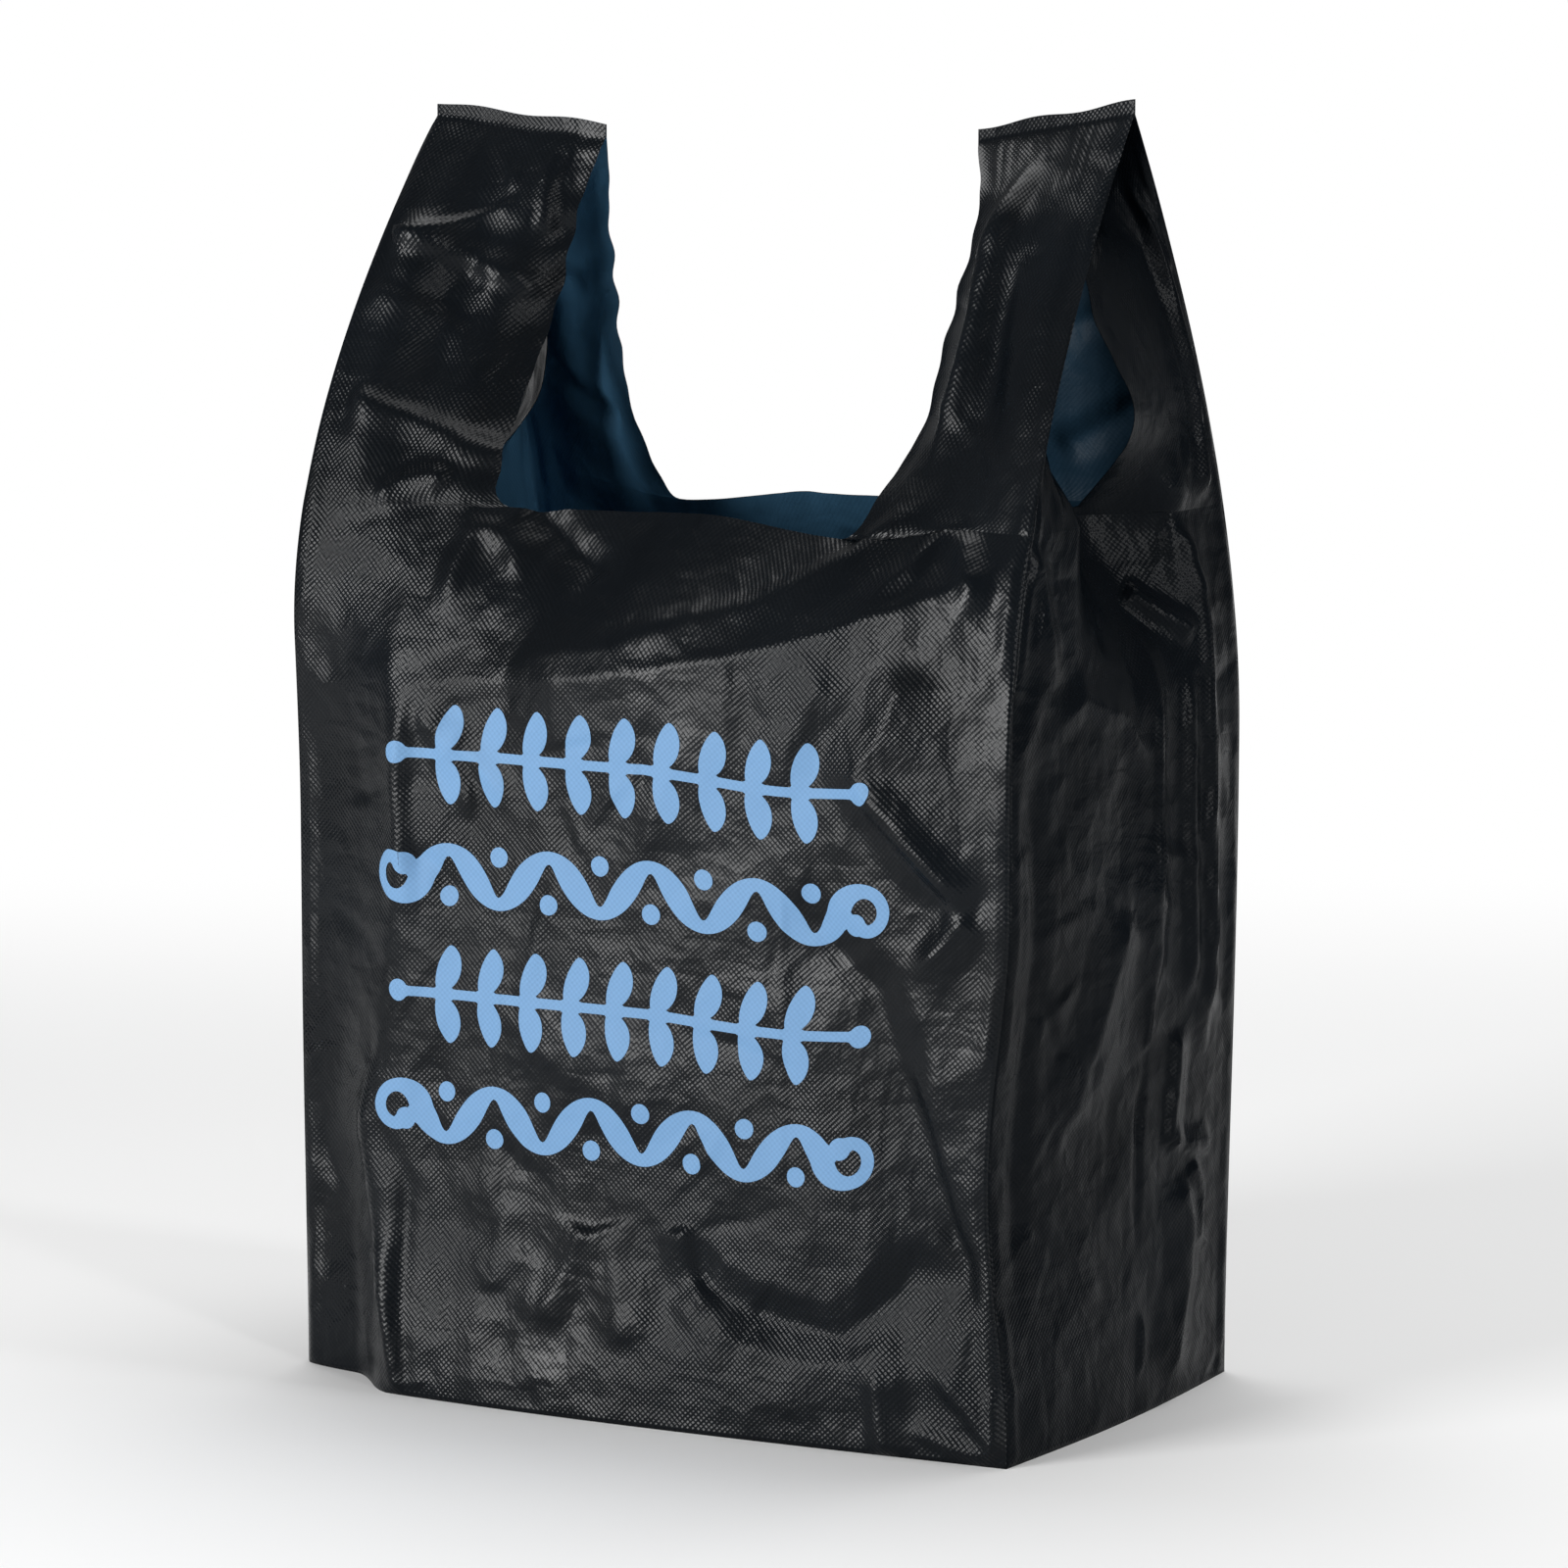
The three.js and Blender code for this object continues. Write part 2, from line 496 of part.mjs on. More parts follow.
// The underside is one flat sheet
function underside() {
  const ring = (column) => `outer ${column % ringColumns} 0`;
  const backOf = (column) => first.leftBack - column;
  for (let column = 1; column < panelColumns - 1; column++) {
    face(ring(column + 1), ring(column), ring(backOf(column)), ring(backOf(column + 1)));
  }
  fan(handles.right, panelColumns - 1, first.rightBack + 1);
  fan(handles.left, first.leftBack - 1, ringColumns + 1);
  function fan(handle, from, to) {
    const middle = corner(`underside ${handle.side}`, () =>
      new THREE.Vector3(handle.side * (halfWidth - HANDLE_WIDTH / STRIP_COLUMNS), 0, 0));
    for (let column = from; column < to; column++) face(middle, ring(column + 1), ring(column));
    face(middle, ring(from), ring(to));
  }
}
underside();

// Inside, the gussets lie folded over both ends of the base: there three layers make the floor,
// and two diagonal fold steps run from the corners to the point where the gusset's middle ends
function floor() {
  const low = FILM_THICKNESS;
  const high = 3 * FILM_THICKNESS;
  const ring = (column) => `inner ${column % ringColumns} 0`;
  const apexX = halfWidth - halfDepth;
  const apex = (side, height) =>
    corner(`apex ${side} ${height}`, () => new THREE.Vector3(side * apexX, 0, height));
  const middle = (column) => {
    const x = corners.get(ring(column)).x;
    if (Math.abs(x) >= apexX) return apex(Math.sign(x), low);
    return corner(`middle ${column}`, () => new THREE.Vector3(x, 0, low));
  };
  const strip = (front, a, b, c, d) => {
    if (b === c) face(...(front ? [d, a, b] : [d, b, a]));
    else face(...(front ? [d, a, b, c] : [d, c, b, a]));
  };
  for (let column = 0; column < panelColumns; column++) {
    const back = first.leftBack - column;
    strip(true, ring(column + 1), middle(column + 1), middle(column), ring(column));
    strip(false, ring(back - 1), middle(column + 1), middle(column), ring(back));
  }
  foldedEnd(1, panelColumns, first.rightBack);
  foldedEnd(-1, first.leftBack, ringColumns);

  function foldedEnd(side, from, to) {
    const peak = apex(side, high);
    const raised = (column) => {
      const name = ring(column);
      if (column !== from && column !== to) {
        corners.get(name).z = high;
        return name;
      }
      return corner(`${name} raised`, () => {
        const towards = corners.get(peak).clone().sub(corners.get(name)).setZ(0).setLength(FOLD_ROUNDING);
        return corners.get(name).clone().add(towards).setZ(high);
      });
    };
    for (let column = from; column < to; column++) face(peak, raised(column), raised(column + 1));
    face(ring(from), raised(from), peak, apex(side, low));
    face(raised(to), ring(to), apex(side, low), peak);
    face(ring(from), ring(from + 1), raised(from));
    face(raised(to), ring(to - 1), ring(to));
  }
}
floor();

function filmGeometry() {
  const positions = [];
  const tints = [];
  for (const triangle of triangles) {
    const colour = printed.has(triangle) ? INK_COLOUR : FILM_COLOUR;
    for (const name of triangle) {
      positions.push(...corners.get(name).toArray());
      tints.push(colour.r / FILM_COLOUR.r, colour.g / FILM_COLOUR.g, colour.b / FILM_COLOUR.b);
    }
  }
  const geometry = new THREE.BufferGeometry();
  geometry.setAttribute("position", new THREE.Float32BufferAttribute(positions, 3));
  geometry.setAttribute("color", new THREE.Float32BufferAttribute(tints, 3));
  geometry.computeVertexNormals();
  return geometry;
}

const film = new THREE.MeshStandardMaterial({
  color: FILM_COLOUR,
  roughness: 0.42,
  metalness: 0,
  vertexColors: true,
});
const bagMesh = new THREE.Mesh(filmGeometry(), film);
bagMesh.name = "film_bag";

const bag = new THREE.Group();
bag.add(bagMesh);

// The origin is the middle of the bag's outline on the ground
const outline = new THREE.Box3().setFromObject(bagMesh);
bagMesh.position.x = -(outline.min.x + outline.max.x) / 2;
bagMesh.position.y = -(outline.min.y + outline.max.y) / 2;

export default bag;
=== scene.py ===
"""A thin plastic carrier bag with two loop handles, standing open on its folded base.

The film is one lofted skin that follows the solid of the CAD frame, with the folds, crumples and
welds of thin film laid into it. Lengths inside the shape functions are millimetres.
"""
import math
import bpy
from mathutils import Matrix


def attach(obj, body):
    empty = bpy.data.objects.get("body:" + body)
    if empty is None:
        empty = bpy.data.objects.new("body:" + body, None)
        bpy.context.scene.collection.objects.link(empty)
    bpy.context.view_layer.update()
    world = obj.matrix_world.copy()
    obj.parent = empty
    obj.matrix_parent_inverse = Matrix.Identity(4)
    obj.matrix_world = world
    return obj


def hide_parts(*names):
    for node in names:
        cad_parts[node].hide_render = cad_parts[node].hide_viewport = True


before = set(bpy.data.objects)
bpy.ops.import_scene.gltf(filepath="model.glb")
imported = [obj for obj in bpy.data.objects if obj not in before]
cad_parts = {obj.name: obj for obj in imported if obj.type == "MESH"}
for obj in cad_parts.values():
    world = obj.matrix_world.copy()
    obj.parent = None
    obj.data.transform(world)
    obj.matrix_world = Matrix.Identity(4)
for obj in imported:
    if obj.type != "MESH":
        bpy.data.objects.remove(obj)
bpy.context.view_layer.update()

from types import SimpleNamespace

import bpy
import numpy as np
from bpy.props import FloatProperty, FloatVectorProperty, PointerProperty
from mathutils import Vector, kdtree, noise

bl_info = {
    "name": "Loop handle carrier bag",
    "version": (1, 0, 0),
    "blender": (4, 5, 0),
    "location": "View3D > Sidebar > Carrier bag",
    "description": "Makes the film, the print and the stage of a plastic carrier bag",
    "category": "Add Mesh",
}

MM = 0.001
TINY = 1e-9
SMALL = 1e-6

# How the standing film leans and sags, in millimetres, as in the solid
LEFT_SHOULDER_HEIGHT = 283
RIGHT_SHOULDER_HEIGHT = 250
LEAN_POWER = 1.8
LEFT_WELD_INSET = 9.5
RIGHT_WELD_INSET = 5.5
LEFT_WELD_BACK = 0
RIGHT_WELD_BACK = 16
LEFT_WELD_DROOP = 7
RIGHT_WELD_DROOP = 12
LEFT_WELD_TWIST = 0
RIGHT_WELD_TWIST = 17
FRONT_MOUTH_SAG = 27
FRONT_SAG_POWER = 1.3
BACK_MOUTH_SAG = 42
MOUTH_DIP = 6
MOUTH_DIP_AT = 0.72
MOUTH_DIP_REACH = 0.2
FRONT_LEAN_LEFT_HEIGHT = 268
FRONT_LEAN_RIGHT_HEIGHT = 326
FRONT_LEAN_POWER = 2.5
BACK_LEAN_HEIGHT = 255
PANEL_BULGE = 4
FOOT_BULGE = 9
FOOT_BULGE_HEIGHT = 70
GUSSET_BULGE = 4
BACK_SPREAD = 2.5
BACK_SPREAD_HEIGHT = 240
WAIST_PINCH = 8
WAIST_HEIGHT = 100
WAIST_REACH = 95
PLEAT_DEPTH = 20
PLEAT_FLAT_WIDTH = 26
PLEAT_STEP_WIDTH = 30
PLEAT_FLAT_HEIGHT = 150
PLEAT_SLOPE_WIDTH = 62
PLEAT_UPPER_SHARE = 0.75
PLEAT_FADE_FROM = 210
PLEAT_HEIGHT = 345
PLEAT_SPREAD = 9
POCKET_DEPTH = 24
POCKET_WIDTH = 96
POCKET_HEIGHT = 70
GATHER_DEPTH = 5
STRAP_BLEND_SHARE = 0.26
STRAP_NARROW_SHARE = 0.2
WELD_BAND = 5

# The film's layers lie a gap apart where they meet below a weld: how many gaps off the middle the
# crease and the two kinds of strip lie, and the shares of the handle over which they come together
SKIN_GAP = 0.26
CREASE_GAPS = 1.1
PANEL_GAPS = 2.2
GUSSET_GAPS = 0.1
STACKED_FROM = 0.6
STACKED_FULL = 0.85

# The middle of the bag's outline on the ground, as seen from the middle of its flat base
ORIGIN_SHIFT = Vector((1.8777, 0.2423, 0))

# Softening of a fold's top, at most a share of its reach
FOLD_SOFTNESS = 0.6
FOLD_SOFT_SHARE = 0.3

# The base arches off the ground between its edges, its seam and the folds of its ends
BASE_ARCH = 0.9
BASE_EDGE_WIDTH = 7
BASE_SEAM_WIDTH = 2.4
BASE_FOLD_SHARE = 0.6

# A ridge beside each crease, which comes and goes along it
CREASE_RIDGE = 0.9
CREASE_RIDGE_AT = 4.5
CREASE_RIDGE_TURNS = 0.043
CREASE_RIDGE_DRIFT = 0.13
CREASE_RIDGE_CHANGE = 0.45

# Puckers below a weld, and the wave of its upper edge
PUCKER_RISE = 0.8
PUCKER_TURNS = 0.8
PUCKER_DRIFT = 0.31
PUCKER_SPREAD = 0.057
PUCKER_LEAST = 0.25
PUCKER_FROM = 5
PUCKER_FULL = 9
PUCKER_REACH = 30
WELD_WAVE = 0.13
WELD_WAVE_TURNS = 11

# Waver of the handles' cut edges
EDGE_WAVE = 1
EDGE_WAVE_TURNS = 30
EDGE_WAVE_DRIFT = 0.37
EDGE_WAVE_FINER = 1.7
EDGE_WAVE_FROM = 0.7
EDGE_WAVE_START = (0, 0.1)
EDGE_WAVE_END = (0.8, 0.97)
GUSSET_WAVE_SHARE = 0.5

# The printed design, in millimetres from the middle of the front panel's foot
PRINT_FOOT = 108
PRINT_STEP = 45
PRINT_ROWS = 4
PRINT_HALF_WIDTH = 112
PRINT_CELL = 1
PRINT_LIFT = 0.16
PRINT_MARGIN = 0.6
STROKE_STEP = 0.6
WAVE_STEPS = 40
CURL_STEPS = 40
LEAF_STEPS = 24
WAVE_LENGTH = 43
WAVE_PERIODS = 4
WAVE_RISE = 9.5
WAVE_THIN = 2.4
WAVE_SWELL = 2.6
CURL_RADIUS = 10.5
CURL_END_RADIUS = 5
CURL_TURN = 1.75 * math.pi
CURL_END_DISC = 4.2
DOT_RADIUS = 3.8
DOT_DROP = 8
STEM_HALF_BREADTH = 1.9
LEAF_STEP = 18.5
LEAF_SHIFT = 0.3
LEAF_LENGTH = 17
LEAF_TURN = 1.0
LEAF_BEND = 0.52
LEAF_HALF_BREADTH = 4.6
LEAF_FULLNESS = 0.8
LEAF_TIP = 0.4

# The gussets' share of the handles: the rest of each is cut away in the slot
GUSSET_STRIP_SHARE = 0.8

# Distance in metres at which the vertices of a finished wall are merged
MERGE_DISTANCE = 0.000002

# A face of a wall is its rim, and shaded flat, if it faces less than this share along the film
RIM_SHARE = 0.35

# How light the inside of each panel is painted at the bag's left and right: painted light where
# that inside lies in shade and painted shade where it is lit, and how far from the middle, in
# metres, it gets there
LINING_PAINTED_LIGHT_SHARES = {
    "front": (1, 1), "right": (1.2, 1.2), "back": (2.2, 0.26), "left": (2.2, 2.2), "base": (1, 1)}
LINING_PAINTED_LIGHT_REACH = 0.1

# Finishes of the film: roughness, strength of the emboss and gleam
OUTSIDE_FINISH = (0.29, 0.75, 0.14)
GUSSET_FINISH = (0.25, 0.4, 0.045)
INSIDE_FINISH = (0.5, 0.3, 0.08)
ROUGHNESS_CHANGE = (-0.06, 0.08)
TONE_CHANGE = 1.6
WORN_EMBOSS = 0.25
EMBOSS_HEIGHT = 0.00014

# Scale and detail of the noise that changes tone, roughness and emboss
TONE_NOISE = (14, 3)
GLOSS_NOISE = (22, 2)
WORN_NOISE = (9, 2)

# Facets and crinkles of used film: how the facets bend (scale, amount) and their own scale, and the
# scale, detail and distortion of the crinkles. Both end in the bump's strength and height in metres
FACETS = (((30, 0.02), 24, 0.45, 0.0024), ((60, 0.012), 70, 0.45, 0.0009))
CRINKLES = ((110, 2, 1.6), 0.2, 0.0009)

# Ink: roughness, gleam, its tones on and off the diamonds, and its grain and diamonds as bumps
INK_ROUGHNESS = 0.6
INK_GLEAM = 0.2
INK_TONES = (0.9, 1.06)
INK_GRAIN = ((170, 4, 0.8), 0.15, 0.0009)
INK_EMBOSS = (0.3, 0.0001)

# The panels in their order round the bag, and its base
PANELS = ("front", "right", "back", "left", "base")

# Mesh density
STRIP_COLUMNS = 44
GAP_COLUMNS = 66
BODY_ROWS = 184
CORNER_STEPS = 8
CORNER_STEP_POWER = 1.6
STRAP_STEPS = 68
WELD_STEPS = 3
SLOT_FOOT_STEP = 4

# Cut edges of the eight strips: shares of the handle width inwards, of the half depth back and of
# the rise
CUT_EDGES = {
    "left_front": [(1, -0.68, 0), (0.95, -0.47, 0.25), (0.94, -0.16, 0.5), (1, -0.06, 0.75)],
    "left_front_gusset": [(0.4, 0.02, 0), (0.54, -0.18, 0.25), (0.7, -0.04, 0.5), (0.88, 0, 0.75)],
    "left_back_gusset": [(0.4, 0.02, 0), (0.54, 0.24, 0.25), (0.7, 0.13, 0.5), (0.88, 0.03, 0.75)],
    "left_back": [(0.88, 0.6, 0), (0.97, 0.36, 0.25), (1, 0.25, 0.5), (1.04, 0.14, 0.75)],
    "right_front": [(0.95, -0.45, 0), (0.9, -0.29, 0.25), (0.85, -0.15, 0.5), (0.76, -0.06, 0.75)],
    "right_front_gusset": [
        (0.3, 0.05, 0), (0.58, -0.07, 0.25), (0.72, -0.01, 0.5), (0.72, 0.08, 0.75)],
    "right_back_gusset": [(0.3, 0.05, 0), (-0.04, 0, 0.25), (0.02, -0.24, 0.5), (0.4, 0.1, 0.75)],
    "right_back": [(1, 0.5, 0), (0.98, 0.44, 0.25), (0.93, 0.38, 0.5), (0.9, 0.32, 0.75)],
}

# Main folds, as in the solid: a line of points, the rise and the reach to the left and the right of
# the line. A point is a share of the half width or half depth across and of the mouth height up
FOLD_RISE = 5
FOLD_REACH = 25
FOLD_END_SHARE = 0.15
FOLD_CLEARANCE = 12
FOLD_WELD_CLEARANCE = 26
FOLD_SHARPNESS = 1.2
MAIN_FOLDS = {
    "front": [
        ([(-0.39, 0.84), (-0.08, 0.86), (0.3, 0.91), (0.56, 0.98), (0.73, 1.06)], 1, 0.8, 2.2),
        ([(0.74, 0.87), (0.68, 0.79), (0.61, 0.74), (0.77, 0.66), (0.92, 0.6)], 0.8, 1.2, 0.6),
        ([(0.38, 0.61), (0.64, 0.51), (0.74, 0.39), (0.8, 0.31), (0.88, 0.22), (0.93, 0.14)],
         -0.9, 0.6, 1.4),
        ([(0.1, 0.21), (0.2, 0.16), (0.31, 0.14), (0.56, 0.12), (0.71, 0.18), (0.77, 0.25)],
         -0.8, 0.5, 1.2),
        ([(-0.68, 0.92), (-0.7, 0.79), (-0.66, 0.65), (-0.7, 0.52), (-0.79, 0.29), (-0.65, 0)],
         0.8, 1.2, 0.9),
        ([(-0.93, 1.3), (-0.77, 1.28), (-0.64, 1.25), (-0.54, 1.22)], 0.6, 0.6, 1),
        ([(-0.92, 1.12), (-0.68, 1.08), (-0.49, 1.04)], 0.7, 0.5, 0.9),
        ([(0.72, 1.37), (0.68, 1.22), (0.67, 1.16), (0.63, 1.05)], 0.7, 1, 0.5),
    ],
    "back": [
        ([(0.79, 1), (0.56, 0.9), (0.26, 0.79), (-0.03, 0.64), (-0.26, 0.45)], 1.1, 1.2, 1.6),
        ([(-0.84, 0.99), (-0.63, 0.85), (-0.39, 0.74), (-0.13, 0.68)], 1, 1.4, 1),
        ([(0.63, 0.71), (0.46, 0.62), (0.42, 0.48), (0.51, 0.35), (0.66, 0.21)], 0.8, 1, 1.2),
        ([(-0.68, 0.66), (-0.6, 0.51), (-0.63, 0.33), (-0.72, 0.15)], 0.8, 1, 0.8),
        ([(-0.46, 0.2), (-0.2, 0.12), (0.13, 0.1), (0.46, 0.14)], -0.7, 0.6, 1),
    ],
    "right": [
        ([(0.46, 1), (0.54, 0.91), (0.6, 0.8), (0.64, 0.58), (0.71, 0.36)], 1, 0.7, 1.2),
        ([(-0.07, 0.58), (-0.18, 0.51), (-0.31, 0.43), (-0.49, 0.34)], 0.7, 1, 0.8),
        ([(0.17, 0.9), (0.17, 0.69), (0.19, 0.45)], 0.5, 0.6, 0.6),
        ([(0.49, 0.26), (0.58, 0.19), (0.55, 0.14), (0.36, 0.02)], 0.7, 0.5, 0.8),
    ],
    "left": [
        ([(-0.45, 0.9), (-0.34, 0.79), (-0.38, 0.62), (-0.27, 0.45)], 0.8, 1, 0.7),
        ([(0.34, 0.92), (0.27, 0.75), (0.38, 0.57), (0.31, 0.36)], 0.7, 0.7, 1),
        ([(-0.67, 0.45), (-0.45, 0.35), (-0.54, 0.24), (-0.34, 0.12)], 0.6, 0.6, 0.8),
    ],
}

# Fine folds: a line of points (across, up) in millimetres from the middle of the base, the height
# outwards, the reach to the left and the right of the line, and the fade at its start and its end
FINE_FOLDS = {
    "front": [
        ([(-24, 289), (40, 303), (77, 322), (97, 342)], 1.6, 5, 12, 30, 20),
        ([(88, 297), (96, 312), (105, 318), (120, 341)], 1.8, 8, 5, 25, 15),
        ([(110, 333), (124, 327), (132, 315), (130, 301)], 1.8, 8, 6, 15, 15),
        ([(93, 246), (99, 237), (118, 220), (134, 204), (141, 201)], 1.8, 10, 5, 14, 10),
        ([(138, 200), (126, 187), (114, 173)], 2.0, 12, 8, 6, 15),
        ([(112, 150), (122, 128), (131, 100), (139, 70)], 1.6, 8, 5, 20, 20),
        ([(22, 58), (40, 36), (66, 29), (92, 31), (112, 45)], 2.2, 14, 20, 14, 16),
        ([(-42, 30), (-29, 52), (-22, 72)], 1.6, 16, 10, 12, 3),
        ([(-14, 74), (-6, 50), (-2, 26)], 1.3, 18, 12, 4, 14),
        ([(20, 76), (24, 56), (34, 40)], 1.8, 6, 12, 3, 14),
        ([(101, 34), (103, 14), (106, 0)], 2.0, 12, 7, 10, 1),
        ([(122, 34), (138, 20), (150, 4)], 1.8, 9, 5, 12, 4),
        ([(112, 12), (130, 6), (147, 1)], 1.3, 5, 3, 10, 4),
        ([(146, 30), (150, 15), (152, 3)], 1.6, 4, 3, 10, 3),
        ([(61, 205), (61, 149), (61, 92)], 0.3, 1.6, 1.6, 8, 8),
        ([(-58, 205), (-59, 160), (-59, 115)], 0.3, 1.6, 1.6, 8, 8),
        ([(-118, 130), (-121, 97), (-114, 61), (-99, 1)], 1.8, 14, 6, 30, 2),
        ([(-101, 92), (-101, 50), (-96, 2)], -1.2, 6, 6, 25, 2),
        ([(-99, 270), (-102, 230), (-98, 175)], 1.6, 6, 10, 20, 30),
        ([(-96, 262), (-84, 250), (-66, 240), (-50, 222)], 1.4, 9, 6, 10, 15),
        ([(-88, 248), (-74, 235), (-70, 216)], 1.1, 5, 7, 8, 12),
        ([(-100, 208), (-84, 200), (-74, 186)], -1.2, 7, 9, 10, 12),
        ([(-62, 336), (-45, 324), (-30, 315), (-21, 309)], -2.2, 6, 12, 4, 12),
        ([(-78, 330), (-64, 318), (-56, 306)], 1.6, 10, 6, 8, 12),
        ([(-78, 332), (-84, 312), (-88, 290)], 2.0, 12, 8, 8, 18),
        ([(-124, 335), (-110, 342), (-100, 344), (-93, 340)], 2.0, 6, 9, 6, 6),
        ([(-141, 374), (-124, 367), (-104, 361), (-87, 355), (-74, 349)], 1.6, 4, 9, 6, 4),
        ([(-146, 411), (-128, 405), (-114, 396), (-100, 388)], 1.5, 6, 9, 8, 14),
        ([(-142, 432), (-130, 430), (-118, 425), (-98, 417), (-82, 408)], 1.8, 10, 5, 3, 10),
        ([(-142, 431), (-128, 433), (-109, 439), (-96, 444)], 1.6, 1.8, 9, 2, 8),
        ([(-97, 464), (-89, 457), (-87, 440), (-88, 425)], 1.5, 5, 4, 6, 14),
        ([(-112, 470), (-104, 455), (-100, 446)], 1.2, 5, 4, 3, 6),
        ([(-60, 150), (-30, 128), (0, 120), (30, 126)], 1.3, 24, 16, 30, 30),
        ([(-70, 96), (-58, 70), (-62, 40)], 1.3, 14, 18, 16, 16),
        ([(30, 262), (10, 232), (2, 196)], 1.2, 20, 14, 20, 24),
        ([(84, 286), (66, 262), (58, 232)], 1.4, 12, 18, 16, 24),
        ([(110, 470), (108, 450), (103, 428), (104, 405), (102, 385), (96, 356)], 1.6, 8, 4, 6, 20),
        ([(86, 465), (96, 463), (108, 460)], -1.4, 3, 5, 2, 6),
        ([(126, 460), (121, 430), (124, 400), (130, 370)], 1.4, 8, 8, 10, 20),
    ],
    "right": [
        ([(17, 306), (28, 297), (44, 288)], 2.6, 6, 6, 4, 6),
        ([(45, 330), (50, 300), (53, 262), (57, 193), (62, 130)], 1.5, 4, 6, 10, 40),
        ([(14, 268), (15, 230), (16, 190)], 1.0, 3, 3, 10, 10),
        ([(38, 280), (40, 230), (43, 185), (46, 148)], 1.8, 7, 6, 20, 20),
        ([(15, 162), (15, 148), (15, 134)], 1.2, 2.5, 2.5, 6, 6),
        ([(11, 40), (10, 28), (9, 14)], 1.2, 2.5, 2.5, 8, 6),
        ([(10, 60), (12, 95), (14, 130)], -0.9, 5, 2, 20, 20),
        ([(38, 142), (37, 118), (34, 97)], 2.0, 12, 5, 8, 2),
        ([(34, 98), (52, 94), (72, 92)], 1.8, 9, 4, 4, 6),
        ([(54, 88), (62, 74), (58, 60), (70, 52)], 1.6, 5, 5, 4, 6),
        ([(-76, 250), (-70, 200), (-72, 140), (-74, 60)], -1.2, 10, 6, 30, 30),
        ([(-60, 262), (-40, 272), (-10, 262), (10, 236)], 1.6, 10, 8, 20, 20),
        ([(-70, 330), (-64, 300), (-58, 275)], 1.8, 9, 7, 8, 20),
    ],
    "back": [
        ([(-60, 300), (-20, 278), (30, 276), (70, 290)], -2.0, 14, 12, 30, 30),
        ([(-30, 120), (10, 96), (56, 92), (90, 108)], -2.0, 16, 12, 20, 20),
        ([(-14, 30), (-8, 14), (-4, 0)], 1.8, 9, 7, 8, 1),
        ([(44, 36), (56, 18), (62, 0)], 1.8, 9, 6, 8, 1),
        ([(-142, 48), (-128, 24), (-140, 4)], 1.8, 8, 6, 10, 4),
        ([(128, 40), (138, 22), (148, 4)], 1.8, 7, 5, 10, 4),
        ([(60, 210), (60, 150), (60, 92)], 0.3, 1.6, 1.6, 8, 8),
        ([(-60, 210), (-60, 150), (-60, 92)], 0.3, 1.6, 1.6, 8, 8),
        ([(10, 320), (4, 300), (12, 282)], 1.6, 9, 7, 6, 14),
        ([(134, 420), (118, 404), (100, 396)], 1.8, 8, 6, 8, 8),
        ([(-138, 428), (-120, 414), (-96, 410)], 1.8, 8, 6, 8, 8),
        ([(-136, 384), (-112, 366), (-88, 356)], 2.2, 8, 8, 10, 6),
        ([(136, 376), (116, 362), (96, 352)], 2.2, 8, 8, 10, 6),
    ],
    "left": [
        ([(0, 280), (0, 200), (2, 110)], 1.4, 3, 3, 20, 20),
        ([(56, 120), (40, 92), (50, 56), (36, 12)], 2.0, 7, 9, 16, 8),
        ([(0, 96), (1, 60), (0, 20)], -1.2, 4, 4, 16, 10),
        ([(-20, 30), (-14, 14), (-12, 0)], 1.8, 8, 6, 8, 1),
    ],
    # The strips beside a gusset's slot, as (from the crease, above the mouth)
    "right_back_gusset": [
        ([(22, 2), (20, 30), (15, 62), (16, 90), (20, 126)], 4.2, 8, 9, 10, 20),
        ([(8, 86), (9, 104), (12, 122)], 2.2, 4, 4, 8, 8),
        ([(34, 12), (30, 44), (26, 80)], 1.6, 5, 6, 10, 20),
    ],
    "right_front_gusset": [([(30, 0), (24, 40), (26, 90)], 1.8, 9, 8, 12, 30)],
    "left_front_gusset": [([(24, 4), (20, 50), (28, 100)], 2.2, 9, 8, 12, 30)],
    "left_back_gusset": [([(20, 4), (26, 50), (24, 100)], 2.2, 9, 8, 12, 30)],
}

FINE_FOLD_SHARE = 1.5

# Fine folds and creases fade out this near a panel's edges
EDGE_CLEARANCE = 4

# Straight creases scattered over each panel: how many, and the ranges of length, rise and reach
CREASE_COUNTS = {"front": 150, "back": 150, "right": 70, "left": 70}
CREASE_LENGTH = (14, 80)
CREASE_RISE = (0.2, 1.0)
CREASE_REACH = (2.5, 11)
CREASE_BEND = 0.12
CREASE_SEED = 11

# Crumples: size and share of each noise, how sharp their ridges are, and where the noise starts
CRUMPLE_SIZES = ((46, 0.55), (21, 0.3), (10, 0.15))
CRUMPLE_SHARPNESS = 3.2
CRUMPLE_SHIFT = Vector((51.9, 17.1, 35.7))

# The camera, as the photograph was taken
CAMERA_AZIMUTH = math.radians(29.864)
CAMERA_ELEVATION = math.radians(7.687)
CAMERA_DISTANCE = 2.358
CAMERA_LENS = 144
CAMERA_SENSOR = 36
CAMERA_RANGE = 200
CAMERA_TARGET = Vector((0.011635, 0.000242, 0.227122))

# Name, place, aim, size across and up, and power in watts
LAMPS = (
    ("key_softbox", (-1.05, -2.25, 0.6), (0, 0, 0.2), (1.0, 0.9), 70),
    ("side_softbox", (2.2, 0.05, 0.55), (0.1, 0, 0.25), (0.2, 1.5), 22),
    ("edge_softbox", (1.9, -1.2, 0.8), (0, 0, 0.3), (0.2, 1.3), 11),
    ("top_softbox", (-0.2, 0.9, 2.4), (0, 0.2, 0), (2.2, 1.6), 40),
)
WORLD_STRENGTH = 0.2

